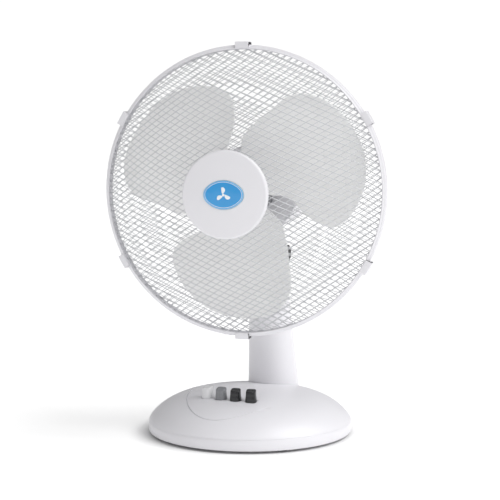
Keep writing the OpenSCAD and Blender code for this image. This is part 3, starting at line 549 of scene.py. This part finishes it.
def cover_height(x, y, groove=0.0):
    z = dome(hypot(x, y))
    away = trough_gap(x, y)
    if away < 20:
        z = blend_low(z, dome(KEY_Y) + TROUGH_R - TROUGH_DEPTH - sqrt(TROUGH_R**2 - away**2), 0.6)
    z -= rounded_off(max(0, slot_gap(x, y)), 0.7) + rounded_off(max(0, column_gap(x, y) - 0.3), 0.8)
    return z - groove


print("trough lies", round(dome(KEY_Y) - cover_height(0, -KEY_Y), 2), "mm below the dome")


# %% [markdown]
# The groove is drawn as five lines side by side, each with its own depth, so it has a flat floor
# and steep lips. It fades out towards the right, where the panel runs out into the dome.

# %% Draw the base cover
def groove_line(grow, steps=110):
    line = []
    for k in range(steps + 1):
        a = pi * (0.035 + 0.93 * k / steps)
        line.append((-(74 + grow) * cos(a), 6 - (113 + grow) * sin(a) ** 1.25))
    return line


def square_line(side, corner, steps=6):
    half = side / 2 - corner
    line = []
    for k, (sx, sy) in enumerate(((1, 1), (-1, 1), (-1, -1), (1, -1))):
        for s in range(steps + 1):
            a = (k + s / steps) * pi / 2
            line.append((sx * half + corner * cos(a), sy * half + corner * sin(a)))
    return line


def key_line(side, corner, angle):
    """A rounded square round one key, in the plan of the base."""
    line = []
    for x, y in square_line(side, corner):
        out = y - KEY_ARC
        line.append((x * cos(angle) - out * sin(angle), ARC_MIDDLE + x * sin(angle) + out * cos(angle)))
    return line


def column_line(gap, steps=120):
    """The outline that stays gap mm away from the column, found by halving along each spoke."""
    line = []
    middle = COLUMN_Y + 1
    for k in range(steps):
        a = 2 * pi * k / steps
        low, high = 20.0, 45.0
        for _ in range(30):
            r = (low + high) / 2
            low, high = (r, high) if column_gap(r * cos(a), middle + r * sin(a)) < gap else (low, r)
        line.append((low * cos(a), middle + low * sin(a)))
    return line


PANEL_R, DOME_STEPS, COVER_WALL = 112.0, 360, 1.3


def dome_ring(r):
    spokes = [2 * pi * k / DOME_STEPS for k in range(DOME_STEPS)]
    return [(r * cos(a), r * sin(a)) for a in spokes]


outer = dome_ring(PANEL_R)
slots = [key_line(SLOT_W, SLOT_CORNER, a) for a in KEY_ANGLES]
hole = column_line(0.3)
groove_steps = {-1.35: 0.0, -1.2: 0.9, -0.75: 1.0, -0.3: 0.9, -0.1: 0.0}
groove_lines = {grow: groove_line(grow) for grow in groove_steps}
lines = [(outer, True), (hole, True), (column_line(0.6), True), (column_line(1.1), True)]
lines += [(line, False) for line in groove_lines.values()] + [(line, True) for line in slots]
lines += [(key_line(SLOT_W + 2 * g, SLOT_CORNER + g, a), True) for a in KEY_ANGLES for g in (0.2, 0.7)]
spots, faces, find = plan_sheet(
    lines,
    [
        (1.3, PANEL_R, lambda x, y: trough_gap(x, y) < 13 and slot_gap(x, y) > 0),
        (3.4, PANEL_R, lambda x, y: hypot(x, y) < PANEL_R - 2 and column_gap(x, y) > 0.3),
    ],
    lambda x, y: hypot(x, y) < PANEL_R and slot_gap(x, y) > 0 and column_gap(x, y) > 0.3,
)
groove_at = {}
for grow, line in groove_lines.items():
    for index, (x, y) in zip(find(line), line):
        fade_left = min(1.0, max(0.0, (2 - y) / 5))
        fade_right = 1 - min(1.0, max(0.0, (x - 30) / 26))
        groove_at[index] = GROOVE_DEPTH * groove_steps[grow] * fade_left * fade_right
points = [(x, y, cover_height(x, y, groove_at.get(i, 0.0))) for i, (x, y) in enumerate(spots)]

# The slot walls go down from the slots' edges
for line, depth in [(s, 3.0) for s in slots] + [(hole, 2.4)]:
    top = find(line)
    low = [len(points) + k for k in range(len(top))]
    points += [(points[i][0], points[i][1], points[i][2] - depth) for i in top]
    for k in range(len(top)):
        n = (k + 1) % len(top)
        faces.append((top[k], top[n], low[n], low[k]))

# From the panel out, the dome is drawn in rings, down to the rim band and its rounded lower edge
rim = []
start = asin(PANEL_R / BASE_R)
for k in range(1, 27):
    r = BASE_R * sin(start + (pi / 2 - start) * (k / 26) ** 0.8)
    rim.append((min(r, BASE_R - 0.02), max(dome(min(r, BASE_R - 0.02)), RIM_H + 0.5)))
rim += [(BASE_R - 0.35, RIM_H + 0.25), (BASE_R - 0.55, RIM_H), (BASE_R - 0.35, RIM_H - 0.3)]
rim += [(BASE_R, RIM_H - 0.7), (BASE_R, 10.0), (BASE_R, 4.6), (BASE_R - 0.3, 3.7), (BASE_R - 1.0, 3.1)]
rim += [(BASE_R - 1.8, 3.0)]
ring = find(outer)
for r, z in rim:
    new = [len(points) + k for k in range(DOME_STEPS)]
    points += [(x, y, z) for x, y in dome_ring(r)]
    for k in range(DOME_STEPS):
        n = (k + 1) % DOME_STEPS
        faces.append((ring[k], new[k], new[n], ring[n]))
    ring = new
cover = piece_from("domed_base_cover", *tidy_points(points, faces), sharp=50)
wall = cover.modifiers.new("wall", "SOLIDIFY")
wall.thickness, wall.offset = COVER_WALL * MM, -1
dress(cover, [shell], "base", "white_shell", "base_cover")

# %% [markdown]
# ## The keys
# Each key is a square pillar with well-rounded corners. It widens a little at its foot, where it
# fills the slot, and its top is hollowed for a fingertip and slants towards the front. It is lofted
# from rounded squares, and the last few follow the hollow inwards.

# %% Draw the keys
KEY_FOOT, KEY_MID, KEY_TOP = 41.0, 54.9, 63.0
KEY_W, KEY_FOOT_W, KEY_CORNER = 11.4, 12.4, 4.2
# How far each ring of the top lies inside the key's edge, and below the hollow's surface
KEY_EDGE = ((0.0, 0.9), (0.12, 0.45), (0.45, 0.12), (0.9, 0.0), (2.2, 0.0), (3.6, 0.0), (4.8, 0.0))


def key_top(y):
    """Height of the finger hollow, across the key."""
    return blend_low(KEY_TOP, KEY_TOP + 13.5 - sqrt(15.5**2 - min(15.4, abs(y + 6)) ** 2), 0.6)


def key_piece(name, angle):
    sides = [(KEY_FOOT, KEY_FOOT_W), (KEY_MID - 3.4, KEY_FOOT_W), (KEY_MID - 1.8, 12.2)]
    sides += [(KEY_MID - 0.2, 11.8), (KEY_MID + 1.8, 11.6)]
    rings = [[(x, y, z) for x, y in square_line(width, KEY_CORNER)] for z, width in sides]
    for inset, drop in KEY_EDGE:
        line = square_line(KEY_W - 2 * inset, max(KEY_CORNER - inset * 0.8, 0.4))
        rings.append([(x, y, key_top(y) - drop) for x, y in line])
    place = Matrix.Translation((0, ARC_MIDDLE * MM, 0)) @ Matrix.Rotation(angle, 4, "Z")
    place = place @ Matrix.Translation((0, -KEY_ARC * MM, 0))
    return piece_from(name, *loft(rings), place, sharp=60)


keys = (
    ("off", key_white, "white_shell"),
    ("low", key_grey, "grey_plastic"),
    ("medium", key_black, "black_plastic"),
    ("high", key_black, "black_plastic"),
)
for (name, finish, slot), angle in zip(keys, KEY_ANGLES):
    dress(key_piece(f"key_cap_{name}", angle), [finish], f"{name}_key", slot, f"button_{name}")

# %% [markdown]
# ## The guard baskets
# Each basket is two families of fine wires that cross in diamonds. A wire is an arc where a plane
# cuts the basket's sphere, so it needs only its distance from the middle. The frame carries every
# third wire; here all of them are drawn, 6.3 mm apart. A thin tube is swept by hand along each arc:
# the side of its plane is a fixed direction, so the tube never twists.

# %% Wire helpers
RIM_R, RIM_WIRE_R, WIRE_R, PITCH = 166.0, 2.2, 0.5, 6.3
# The second family of wires lies this far inside the first, so that they touch where they cross
LAYER = 1.25
TILTS = (radians(-24), radians(34))


def dome_through(r1, t1, r2, t2):
    """Centre on the axis and radius of the sphere through two circles."""
    centre = (r1 * r1 + t1 * t1 - r2 * r2 - t2 * t2) / (2 * (t1 - t2))
    return centre, hypot(r1, t1 - centre)


def tube_along(path, side, radius, facets=6):
    """A tube along points that all lie in one plane, whose normal is side."""
    rings = []
    for i, p in enumerate(path):
        run = (path[min(i + 1, len(path) - 1)] - path[max(i - 1, 0)]).normalized()
        up = run.cross(side)
        angles = [2 * pi * (k + 0.5) / facets for k in range(facets)]
        rings.append([tuple(p + (side * cos(a) + up * sin(a)) * radius) for a in angles])
    return loft(rings)


def basket(centre, sphere_r, front, hole):
    """All the wires of one basket; hole is the radius where they stop, or 0."""
    tubes = []
    count = int((RIM_R - 3) / PITCH)
    for family, tilt in enumerate(TILTS):
        along, side = Vector((cos(tilt), sin(tilt), 0)), Vector((-sin(tilt), cos(tilt), 0))
        reach = sphere_r - family * LAYER
        for k in range(-count, count + 1):
            p = k * PITCH
            end = sqrt((RIM_R - 1.2) ** 2 - p**2)
            inner = sqrt(hole**2 - p**2) if hole > abs(p) else 0
            for low, high in ((-end, -inner), (inner, end)) if inner else ((-end, end),):
                steps = max(4, ceil((high - low) / 10))
                path = []
                for j in range(steps + 1):
                    s = low + (high - low) * j / steps
                    rise = sqrt(reach**2 - p**2 - s**2)
                    path.append(along * s + side * p + Vector((0, 0, centre + (rise if front else -rise))))
                tubes.append(tube_along(path, side, WIRE_R))
    return joined(*tubes)


RIM_STEPS, RIM_FACETS = 240, 14


def rim_wire(t):
    around = [2 * pi * k / RIM_FACETS for k in range(RIM_FACETS)]
    return turned([(RIM_R + RIM_WIRE_R * cos(a), t + RIM_WIRE_R * sin(a)) for a in around], RIM_STEPS)


# The rim wire takes the white shell finish, the coat's own white, while the grid wires carry the painted
# shade of the grey wire finish
def whiten_rim(basket):
    """Gives the rim wire, whose faces come last, the second finish."""
    for face in basket.data.polygons[-RIM_STEPS * RIM_FACETS :]:
        face.material_index = 1


# %% Weave both baskets
RING_T, RIM_GAP, PLATE_T = 110.5, 2.4, 64.3
CAP_R, CAP_SEAT = 49.5, 182.2
front_c, front_s = dome_through(RIM_R, RING_T + RIM_GAP - 1.5, CAP_R, CAP_SEAT)
rear_c, rear_s = dome_through(RIM_R, RING_T - RIM_GAP, 52.0, PLATE_T + 1.2)
front_basket = piece_from(
    "front_guard_basket", *joined(basket(front_c, front_s, True, 0), rim_wire(RING_T + RIM_GAP)), HEAD
)
whiten_rim(front_basket)
dress(front_basket, [wire_coat_painted_shade, shell], "head", "white_wire", "front_guard")

plate = round_corners(
    [
        (20.3, PLATE_T, 0.4), (54, PLATE_T, 1.1), (54, PLATE_T + 2.4, 1.1),
        (20.3, PLATE_T + 2.4, 0.5),
    ]
)
rear_basket = piece_from(
    "rear_guard_basket", *joined(basket(rear_c, rear_s, False, 52), rim_wire(RING_T - RIM_GAP)), HEAD
)
whiten_rim(rear_basket)
dress(rear_basket, [wire_coat_painted_shade, shell], "head", "white_wire", "rear_guard")
HOLES_AT, HOLE_R = 24, 3
holes = []
for k in range(3):
    a = pi / 2 + 2 * pi * k / 3
    turns = [2 * pi * i / 24 for i in range(24)]
    drill = [(HOLES_AT * cos(a) + HOLE_R * cos(b), HOLES_AT * sin(a) + HOLE_R * sin(b)) for b in turns]
    holes.append(piece_from(f"drill_{k}", *loft([[(x, y, z) for x, y in drill] for z in (60, 70)]), HEAD))
rear_plate = carve(piece_from("rear_guard_plate", *turned(plate), HEAD), *holes)
dress(rear_plate, [shell], "head", "white_shell")

# %% [markdown]
# ## The trim ring and its clips
# The trim ring is a moulded channel that grips both rim wires. It is split at the bottom, where a
# screw through two lugs draws it tight. Six clips reach over it. Both are channel sections with
# rounded corners, turned round the blower axis through nearly a full turn or through a few degrees.

# %% Draw the ring
RING_R, HALF_W, SPLIT = 171.0, 6.0, radians(-97)
channel = [(RING_R, -HALF_W, 4.2), (RING_R, HALF_W, 4.2), (RING_R - 7.2, HALF_W, 0.6)]
channel += [(RING_R - 7.2, HALF_W - 1.3, 0.5), (RING_R - 1.6, HALF_W - 1.3, 2.4)]
channel += [(RING_R - 1.6, 1.3 - HALF_W, 2.4), (RING_R - 7.2, 1.3 - HALF_W, 0.5)]
channel += [(RING_R - 7.2, -HALF_W, 0.6)]
section = [(r, RING_T + t) for r, t in round_corners(channel)]
half_split = radians(0.35)
ring_skin = turned(section, 360, 2 * pi - 2 * half_split, SPLIT + half_split)
lugs = []
for side in (-1, 1):
    shape = [(RING_R - 7.6, -13.0, 1.8), (RING_R - 0.6, -13.0, 1.8)]
    shape += [(RING_R - 0.6, -5.0, 0), (RING_R - 7.6, -5.0, 0)]
    rings = []
    for across in (side * 3 - 1.5, side * 3 + 1.5):
        rings.append([(x, across, z + RING_T) for x, z in round_corners(shape)])
    skin = loft(rings)
    turn = Matrix.Rotation(SPLIT, 4, "Z")
    lugs.append(([tuple(turn @ Vector(p)) for p in skin[0]], skin[1]))
ring = piece_from("trim_ring", *joined(ring_skin, *lugs), HEAD)
dress(ring, [shell], "head", "white_shell", "guard_ring")

# %% Draw the clips
grip = [(164.0, 7.6, 0.6), (172.8, 7.6, 1.9), (172.8, -7.6, 1.9), (164.0, -7.6, 0.6)]
grip += [(164.0, -6.1, 0), (171.1, -6.1, 0.5), (171.1, 6.1, 0.5), (164.0, 6.1, 0)]
grip_section = [(r, RING_T + t) for r, t in round_corners(grip)]
clip_half = radians(2.7)
clips = [turned(grip_section, 8, 2 * clip_half, radians(30 + 60 * k) - clip_half) for k in range(6)]
clip_piece = piece_from("ring_clips", *joined(*clips), HEAD)
ends = clip_piece.modifiers.new("soft_ends", "BEVEL")
ends.width, ends.segments, ends.limit_method, ends.angle_limit = 0.4 * MM, 2, "ANGLE", radians(60)
dress(clip_piece, [shell], "head", "white_shell", "guard_clips")

# %% [markdown]
# ## The centre cap
# The cap is a shallow crowned disc with a rounded edge, and the oval badge lies in a seat cut to its
# outline. The badge outline is four arcs that run into each other without a corner.

# %% Badge outline
BADGE_W, BADGE_H, END_R, SIDE_R = 46.0, 32.0, 11.0, 27.9
END_X, SIDE_Y = BADGE_W / 2 - END_R, SIDE_R - BADGE_H / 2


def oval(grow, steps=16):
    """The oval from four tangent arcs: two tight ones at the ends and two wide ones."""
    turn = atan2(END_X, SIDE_Y)
    end = (END_X, 0, END_R, -pi / 2 + turn, pi / 2 - turn)
    side = (0, -SIDE_Y, SIDE_R, pi / 2 - turn, pi / 2 + turn)
    line = []
    for flip in (0, pi):
        for x, y, r, first, last in (end, side):
            for k in range(steps):
                a = first + (last - first) * k / steps
                px, py = x + (r + grow) * cos(a), y + (r + grow) * sin(a)
                line.append((px * cos(flip) - py * sin(flip), px * sin(flip) + py * cos(flip)))
    return line


def oval_gap(x, y):
    """Distance outside the oval, negative inside it."""
    x, y = abs(x), abs(y)
    if x * SIDE_Y <= (y + SIDE_Y) * END_X:
        return hypot(x, y + SIDE_Y) - SIDE_R
    return hypot(x - END_X, y) - END_R


# %% Draw the cap
CROWN, CAP_EDGE, CAP_STEPS = 380.0, 3.0, 180
cap_low = CAP_SEAT + 0.9
cap_top = front_c + front_s + 3.4
flat_r = CAP_R - CAP_EDGE
shoulder = cap_top - CROWN + sqrt(CROWN**2 - flat_r**2) - CAP_EDGE


def cap_height(x, y):
    z = cap_top - CROWN + sqrt(CROWN**2 - x * x - y * y)
    return z - rounded_off(max(0, oval_gap(x, y) - 0.2), 0.5)


def cap_ring(r):
    spokes = [2 * pi * k / CAP_STEPS for k in range(CAP_STEPS)]
    return [(r * cos(a), r * sin(a)) for a in spokes]


cap_outer = cap_ring(flat_r)
seat_line = oval(0.2)
spots, faces, find = plan_sheet(
    [(cap_outer, True), (seat_line, True), (oval(0.4), True), (oval(0.7), True), (oval(1.4), True)],
    [(3.0, flat_r, lambda x, y: hypot(x, y) < flat_r - 1 and oval_gap(x, y) > 1)],
    lambda x, y: hypot(x, y) < flat_r and oval_gap(x, y) > 0.2,
)
points = [(x, y, cap_height(x, y)) for x, y in spots]
top = find(seat_line)
low = [len(points) + k for k in range(len(top))]
points += [(points[i][0], points[i][1], points[i][2] - 1.3) for i in top]
faces += [(top[k], top[(k + 1) % len(top)], low[(k + 1) % len(top)], low[k]) for k in range(len(top))]
faces.append(tuple(low))
ring = find(cap_outer)
cap_rim = []
for k in range(1, 9):
    a = pi / 2 * (1 - k / 8)
    cap_rim.append((flat_r + CAP_EDGE * cos(a), shoulder + CAP_EDGE * sin(a)))
cap_rim += [(CAP_R, shoulder - 1.5), (CAP_R, cap_low + 0.3), (CAP_R - 0.3, cap_low), (CAP_R - 1.8, cap_low)]
cap_rim += [(CAP_R - 1.8, shoulder - 0.5), (flat_r - 1, shoulder + CAP_EDGE - 2.2)]
cap_rim += [(20, cap_top - 3.0), (1, cap_top - 2.8)]
for r, z in cap_rim:
    new = [len(points) + k for k in range(CAP_STEPS)]
    points += [(x, y, z) for x, y in cap_ring(r)]
    for k in range(CAP_STEPS):
        n = (k + 1) % CAP_STEPS
        faces.append((ring[k], new[k], new[n], ring[n]))
    ring = new
faces.append(tuple(ring))
cap = piece_from("centre_cap_crowned", *tidy_points(points, faces), HEAD)
dress(cap, [shell], "head", "white_shell", "centre_cap")


# %% [markdown]
# ## The badge
# The badge is a printed oval under clear resin: a blue field with a pale edge, and a thin white
# line a little further in. It carries a plain mark of three fan blades. The bands are rings of the
# same outline, each given as (grow, height, paint), and each ring of faces takes its own paint.

# %% Draw the badge
badge_top = cap_top + 0.55
BLUE, PALE, WHITE = range(3)
bands = [(0.0, -1.6, PALE), (0.0, -0.35, PALE), (-0.12, -0.12, PALE), (-0.35, 0.0, PALE)]
bands += [(-0.6, 0.02, BLUE), (-1.5, 0.05, WHITE), (-2.0, 0.07, BLUE), (-5.0, 0.16, BLUE)]
bands += [(-8.0, 0.22, BLUE), (-10.2, 0.25, BLUE)]
rings = [[(x, y, badge_top + z - 0.25) for x, y in oval(grow)] for grow, z, _ in bands]
badge = piece_from("oval_badge", *loft(rings), HEAD)
around = len(rings[0])
for face in badge.data.polygons:
    band = face.index // around
    face.material_index = bands[band][2] if band < len(bands) - 1 else BLUE
dress(badge, [badge_blue, badge_pale, badge_white], "head", "badge_blue", "badge")

mark = []
for k in range(3):
    turn = Matrix.Rotation(radians(90 + 120 * k), 4, "Z")
    petal = []
    for s in range(28):
        a = 2 * pi * s / 28
        r = 1 + 0.25 * cos(a)
        petal.append((5.0 + 3.6 * cos(a), 2.1 * sin(a) * r + 0.9 * cos(a) ** 2, 0))
    levels = [
        [tuple(turn @ Vector((5 + (x - 5) * share, y * share, badge_top + z))) for x, y, _ in petal]
        for share, z in ((1.0, -0.3), (1.0, -0.02), (0.94, 0.06), (0.5, 0.1))
    ]
    mark.append(loft(levels))
dot = [(0.01, badge_top - 0.3), (1.5, badge_top - 0.3), (1.5, badge_top)]
dot += [(1.3, badge_top + 0.08), (0.01, badge_top + 0.1)]
mark.append(turned(dot, 32))
dress(piece_from("badge_three_blade_mark", *joined(*mark), HEAD), [badge_white], "head", "badge_blue")

# %% [markdown]
# ## The impeller
# Three broad blades overlap in one moulding with the hub. A blade is a plan outline, lifted onto a
# curved sheet that scoops the air. Its thickness falls to nothing over the last millimetre, in a
# quarter circle, so its edge is round and smooth like a moulded one.

# %% Blade helpers
BLADE = [(0.17, -30), (0.34, -36), (0.52, -50), (0.76, -51), (0.91, -35), (0.99, -16), (1.0, 2)]
BLADE += [(0.97, 18), (0.86, 30), (0.69, 37), (0.53, 47), (0.38, 57), (0.17, 50)]
BLADE_R, BLADE_T, BLADE_HALF = 148.0, 119.0, 1.0
# The sheet is part of a wide cylinder that is tipped to give the blade its pitch
SCOOP_R, BLADE_PITCH = 260, radians(15)


def spline(p, i, u):
    """A point on the smooth curve through the corners, u of the way past corner i."""
    a, b, c, d = (p[(i + k) % len(p)] for k in (-1, 0, 1, 2))
    return tuple(
        0.5 * (2 * b[n] + (c[n] - a[n]) * u + (2 * a[n] - 5 * b[n] + 4 * c[n] - d[n]) * u**2
               + (3 * b[n] - a[n] - 3 * c[n] + d[n]) * u**3)
        for n in (0, 1)
    )


def blade_outline(steps=12):
    line = []
    for i in range(len(BLADE)):
        for k in range(steps):
            share, angle = spline(BLADE, i, k / steps)
            r = max(26.5, BLADE_R * min(1, share))
            line.append(Vector((r * cos(radians(angle)), r * sin(radians(angle)))))
    return line


def inset(line, by):
    """The outline moved inwards, as it runs anticlockwise."""
    moved = []
    for i, p in enumerate(line):
        run = (line[(i + 1) % len(line)] - line[i - 1]).normalized()
        moved.append(p + Vector((-run.y, run.x)) * by)
    return moved


def blade_sheet(y):
    """Height of the blade's middle surface."""
    rise = sqrt(SCOOP_R**2 - (y + SCOOP_R * sin(BLADE_PITCH)) ** 2)
    return BLADE_T + SCOOP_R * cos(BLADE_PITCH) - 8 - rise


# %% Draw the impeller
edge = blade_outline()
edge_tree = kdtree.KDTree(len(edge) * 4)
for i, p in enumerate(edge):
    for k in range(4):
        edge_tree.insert((*p.lerp(edge[(i + 1) % len(edge)], k / 4), 0), 4 * i + k)
edge_tree.balance()


def within(x, y):
    """Whether a point lies inside the blade outline."""
    hits = False
    for i, p in enumerate(edge):
        q = edge[i - 1]
        if (p.y > y) != (q.y > y) and x < (q.x - p.x) * (y - p.y) / (q.y - p.y) + p.x:
            hits = not hits
    return hits


spots, faces, find = plan_sheet(
    [(edge, True)] + [(inset(edge, d), True) for d in (0.15, 0.5, 1.0, 2.2)],
    [(5.0, BLADE_R, lambda x, y: hypot(x, y) > 20 and within(x, y))],
    within,
)
outline = set(find(edge))
top, low, points = {}, {}, []
for i, (x, y) in enumerate(spots):
    away = 0 if i in outline else edge_tree.find((x, y, 0))[2]
    half = BLADE_HALF * sqrt(1 - (1 - min(1.0, away)) ** 2)
    top[i] = len(points)
    points.append((x, y, blade_sheet(y) + half))
    low[i] = top[i]
    if i not in outline:
        low[i] = len(points)
        points.append((x, y, blade_sheet(y) - half))
faces = [tuple(top[i] for i in f) for f in faces] + [tuple(low[i] for i in f)[::-1] for f in faces]
blade = tidy_points(points, faces)
blades = []
for k in range(3):
    turn = Matrix.Rotation(radians(30 + 120 * k), 4, "Z")
    blades.append(([tuple(turn @ Vector(p)) for p in blade[0]], blade[1]))
hub = [(4.1, 131, 0.3), (28, 131, 4.0), (28, 102, 0.6), (25.6, 102, 0.5), (25.6, 128.4, 1.5), (9, 128.4, 1.5)]
hub += [(9, 103, 0.4), (4.1, 103, 0.3)]
impeller_skin = joined(turned(round_corners(hub), 120), *blades)
impeller = piece_from("impeller_three_blade", *impeller_skin, HEAD, sharp=60)
dress(impeller, [blade_plastic_painted_light], "rotor", "grey_blade", "impeller")

# %% [markdown]
# ## Pieces kept from the frame
# The column, the motor housing, the knobs and everything inside are already the right shape, so
# they keep their CAD meshes with softened edges and their own finishes.

# %% Finish the kept nodes
keep(shell, 0.5, "column", "neck", "motor_housing", "oscillation_knob")
keep(cover_grey, 0.5, "motor_front_cover", "guard_nut")
keep(shell, 0.3, "base_plate", "cap_back_plate", "spinner_nut")
keep(nylon_black, 0.4, "tilt_knob", "switch_block", "cord_gland")
keep(rubber, 0.5, "rubber_feet")
keep(shell, 0.4, "plunger_off", "plunger_low", "plunger_medium", "plunger_high", "run_capacitor")
keep(acetal, 0.2, "worm_wheel", "output_crank", "terminal_block")
keep(zinc_plate, 0.15, "base_screws", "switch_screws", "column_screws", "neck_screw", "cover_screws")
keep(zinc_plate, 0.15, "ring_screw", "cap_screws", "bracket_bolts", "tilt_bolt", "pivot_pin")
keep(rolled_steel, 0.15, "crank_link", "worm")
keep(ground_steel, 0.1, "shaft", "drive_pin")
keep(cast_zinc, 0.3, "gearbox_case", "gearbox_lid", "rear_bracket", "front_bracket")
keep(sintered_bronze, 0.15, "rear_bearing", "front_bearing")
keep(stack, 0.0, "stator_core", "rotor_core")
keep(winding, 0.8, "windings")
kept = [n for n, o in frame["nodes"].items() if not o.hide_render]
print("kept nodes:", len(kept))

# %% [markdown]
# ## Floor, light and camera
# The fan stands on a pale sweep. The sweep glows with painted light that starts 118 mm from the middle
# and is full by 150 mm, so it turns white away from the base and stays darker round it, as painted
# contact shade. One large soft lamp to the upper right models the shapes, a much weaker one fills the
# front, and a white surround lights the rest. The surround lights the surfaces less than it shows itself, so
# the background stays white while the shell keeps its greys.

# %% Floor
floor_finish, tree, here = new_finish("paper_sweep_painted_glow")
away = add_node(tree, "ShaderNodeVectorMath", {"operation": "LENGTH"}, {0: here})
# Painted light: the floor glows from 118 mm out, full by 150 mm, leaving painted shade round the base
painted_glow = add_node(
    tree,
    "ShaderNodeMapRange",
    {"interpolation_type": "SMOOTHSTEP", "From Min": 118 * MM, "From Max": 150 * MM, "To Max": 0.36},
    {"Value": away.outputs["Value"]},
)
pulp = add_node(tree, "ShaderNodeTexNoise", {"Scale": per_mm(60)}, {"Vector": here})
tone = add_node(
    tree,
    "ShaderNodeMix",
    {"data_type": "RGBA", "A": colour("#f6f6f6"), "B": colour("#fafafa")},
    {"Factor": pulp.outputs["Fac"]},
)
close_finish(
    tree,
    {"Roughness": 0.9, "Specular IOR Level": 0.1, "Emission Color": colour("#ffffff")},
    {"Base Color": tone.outputs["Result"], "Emission Strength": painted_glow.outputs["Result"]},
)
floor = piece_from("floor", [(-9e3, -9e3, 0), (9e3, -9e3, 0), (9e3, 9e3, 0), (-9e3, 9e3, 0)], [(0, 1, 2, 3)])
floor.data.materials.append(floor_finish)

# %% Surround and lamps
world = bpy.data.worlds.new("white_surround")
bpy.context.scene.world = world
world.use_nodes = True
world.node_tree.nodes.clear()
tree = world.node_tree
seen = add_node(tree, "ShaderNodeBackground", {"Color": colour("#ffffff"), "Strength": 1.05})
lit = add_node(tree, "ShaderNodeBackground", {"Color": colour("#ffffff"), "Strength": 0.37})
ray = add_node(tree, "ShaderNodeLightPath")
both = add_node(
    tree,
    "ShaderNodeMixShader",
    {},
    {0: ray.outputs["Is Camera Ray"], 1: lit.outputs["Background"], 2: seen.outputs["Background"]},
)
add_node(tree, "ShaderNodeOutputWorld", {}, {"Surface": both.outputs["Shader"]})


def lamp(name, towards, spread, power):
    """A far, soft lamp: towards points from the fan to the lamp."""
    light = bpy.data.lights.new(name, "SUN")
    light.angle, light.energy = radians(spread), power
    holder = bpy.data.objects.new(name, light)
    bpy.context.scene.collection.objects.link(holder)
    holder.rotation_euler = (-Vector(towards)).to_track_quat("-Z", "Y").to_euler()


lamp("key_lamp", (0.873, 0.03, 1.0), 45, 2.0)
lamp("front_lamp", (0.2, -1.0, 0.35), 60, 0.2)

# %% Camera
camera = bpy.data.cameras.new("camera")
camera.lens, camera.sensor_width = 98.8, 36
eye = bpy.data.objects.new("camera", camera)
bpy.context.scene.collection.objects.link(eye)
eye.location = (0.710, -1.489, 0.372)
down = 0.091
look = Vector((-0.4305 * cos(down), 0.9026 * cos(down), -sin(down)))
eye.rotation_euler = look.to_track_quat("-Z", "Y").to_euler()
bpy.context.scene.camera = eye
bpy.context.scene.view_settings.view_transform = "Standard"
print("camera is", round((eye.location - Vector((0, 0, 0.25))).length, 2), "m away")
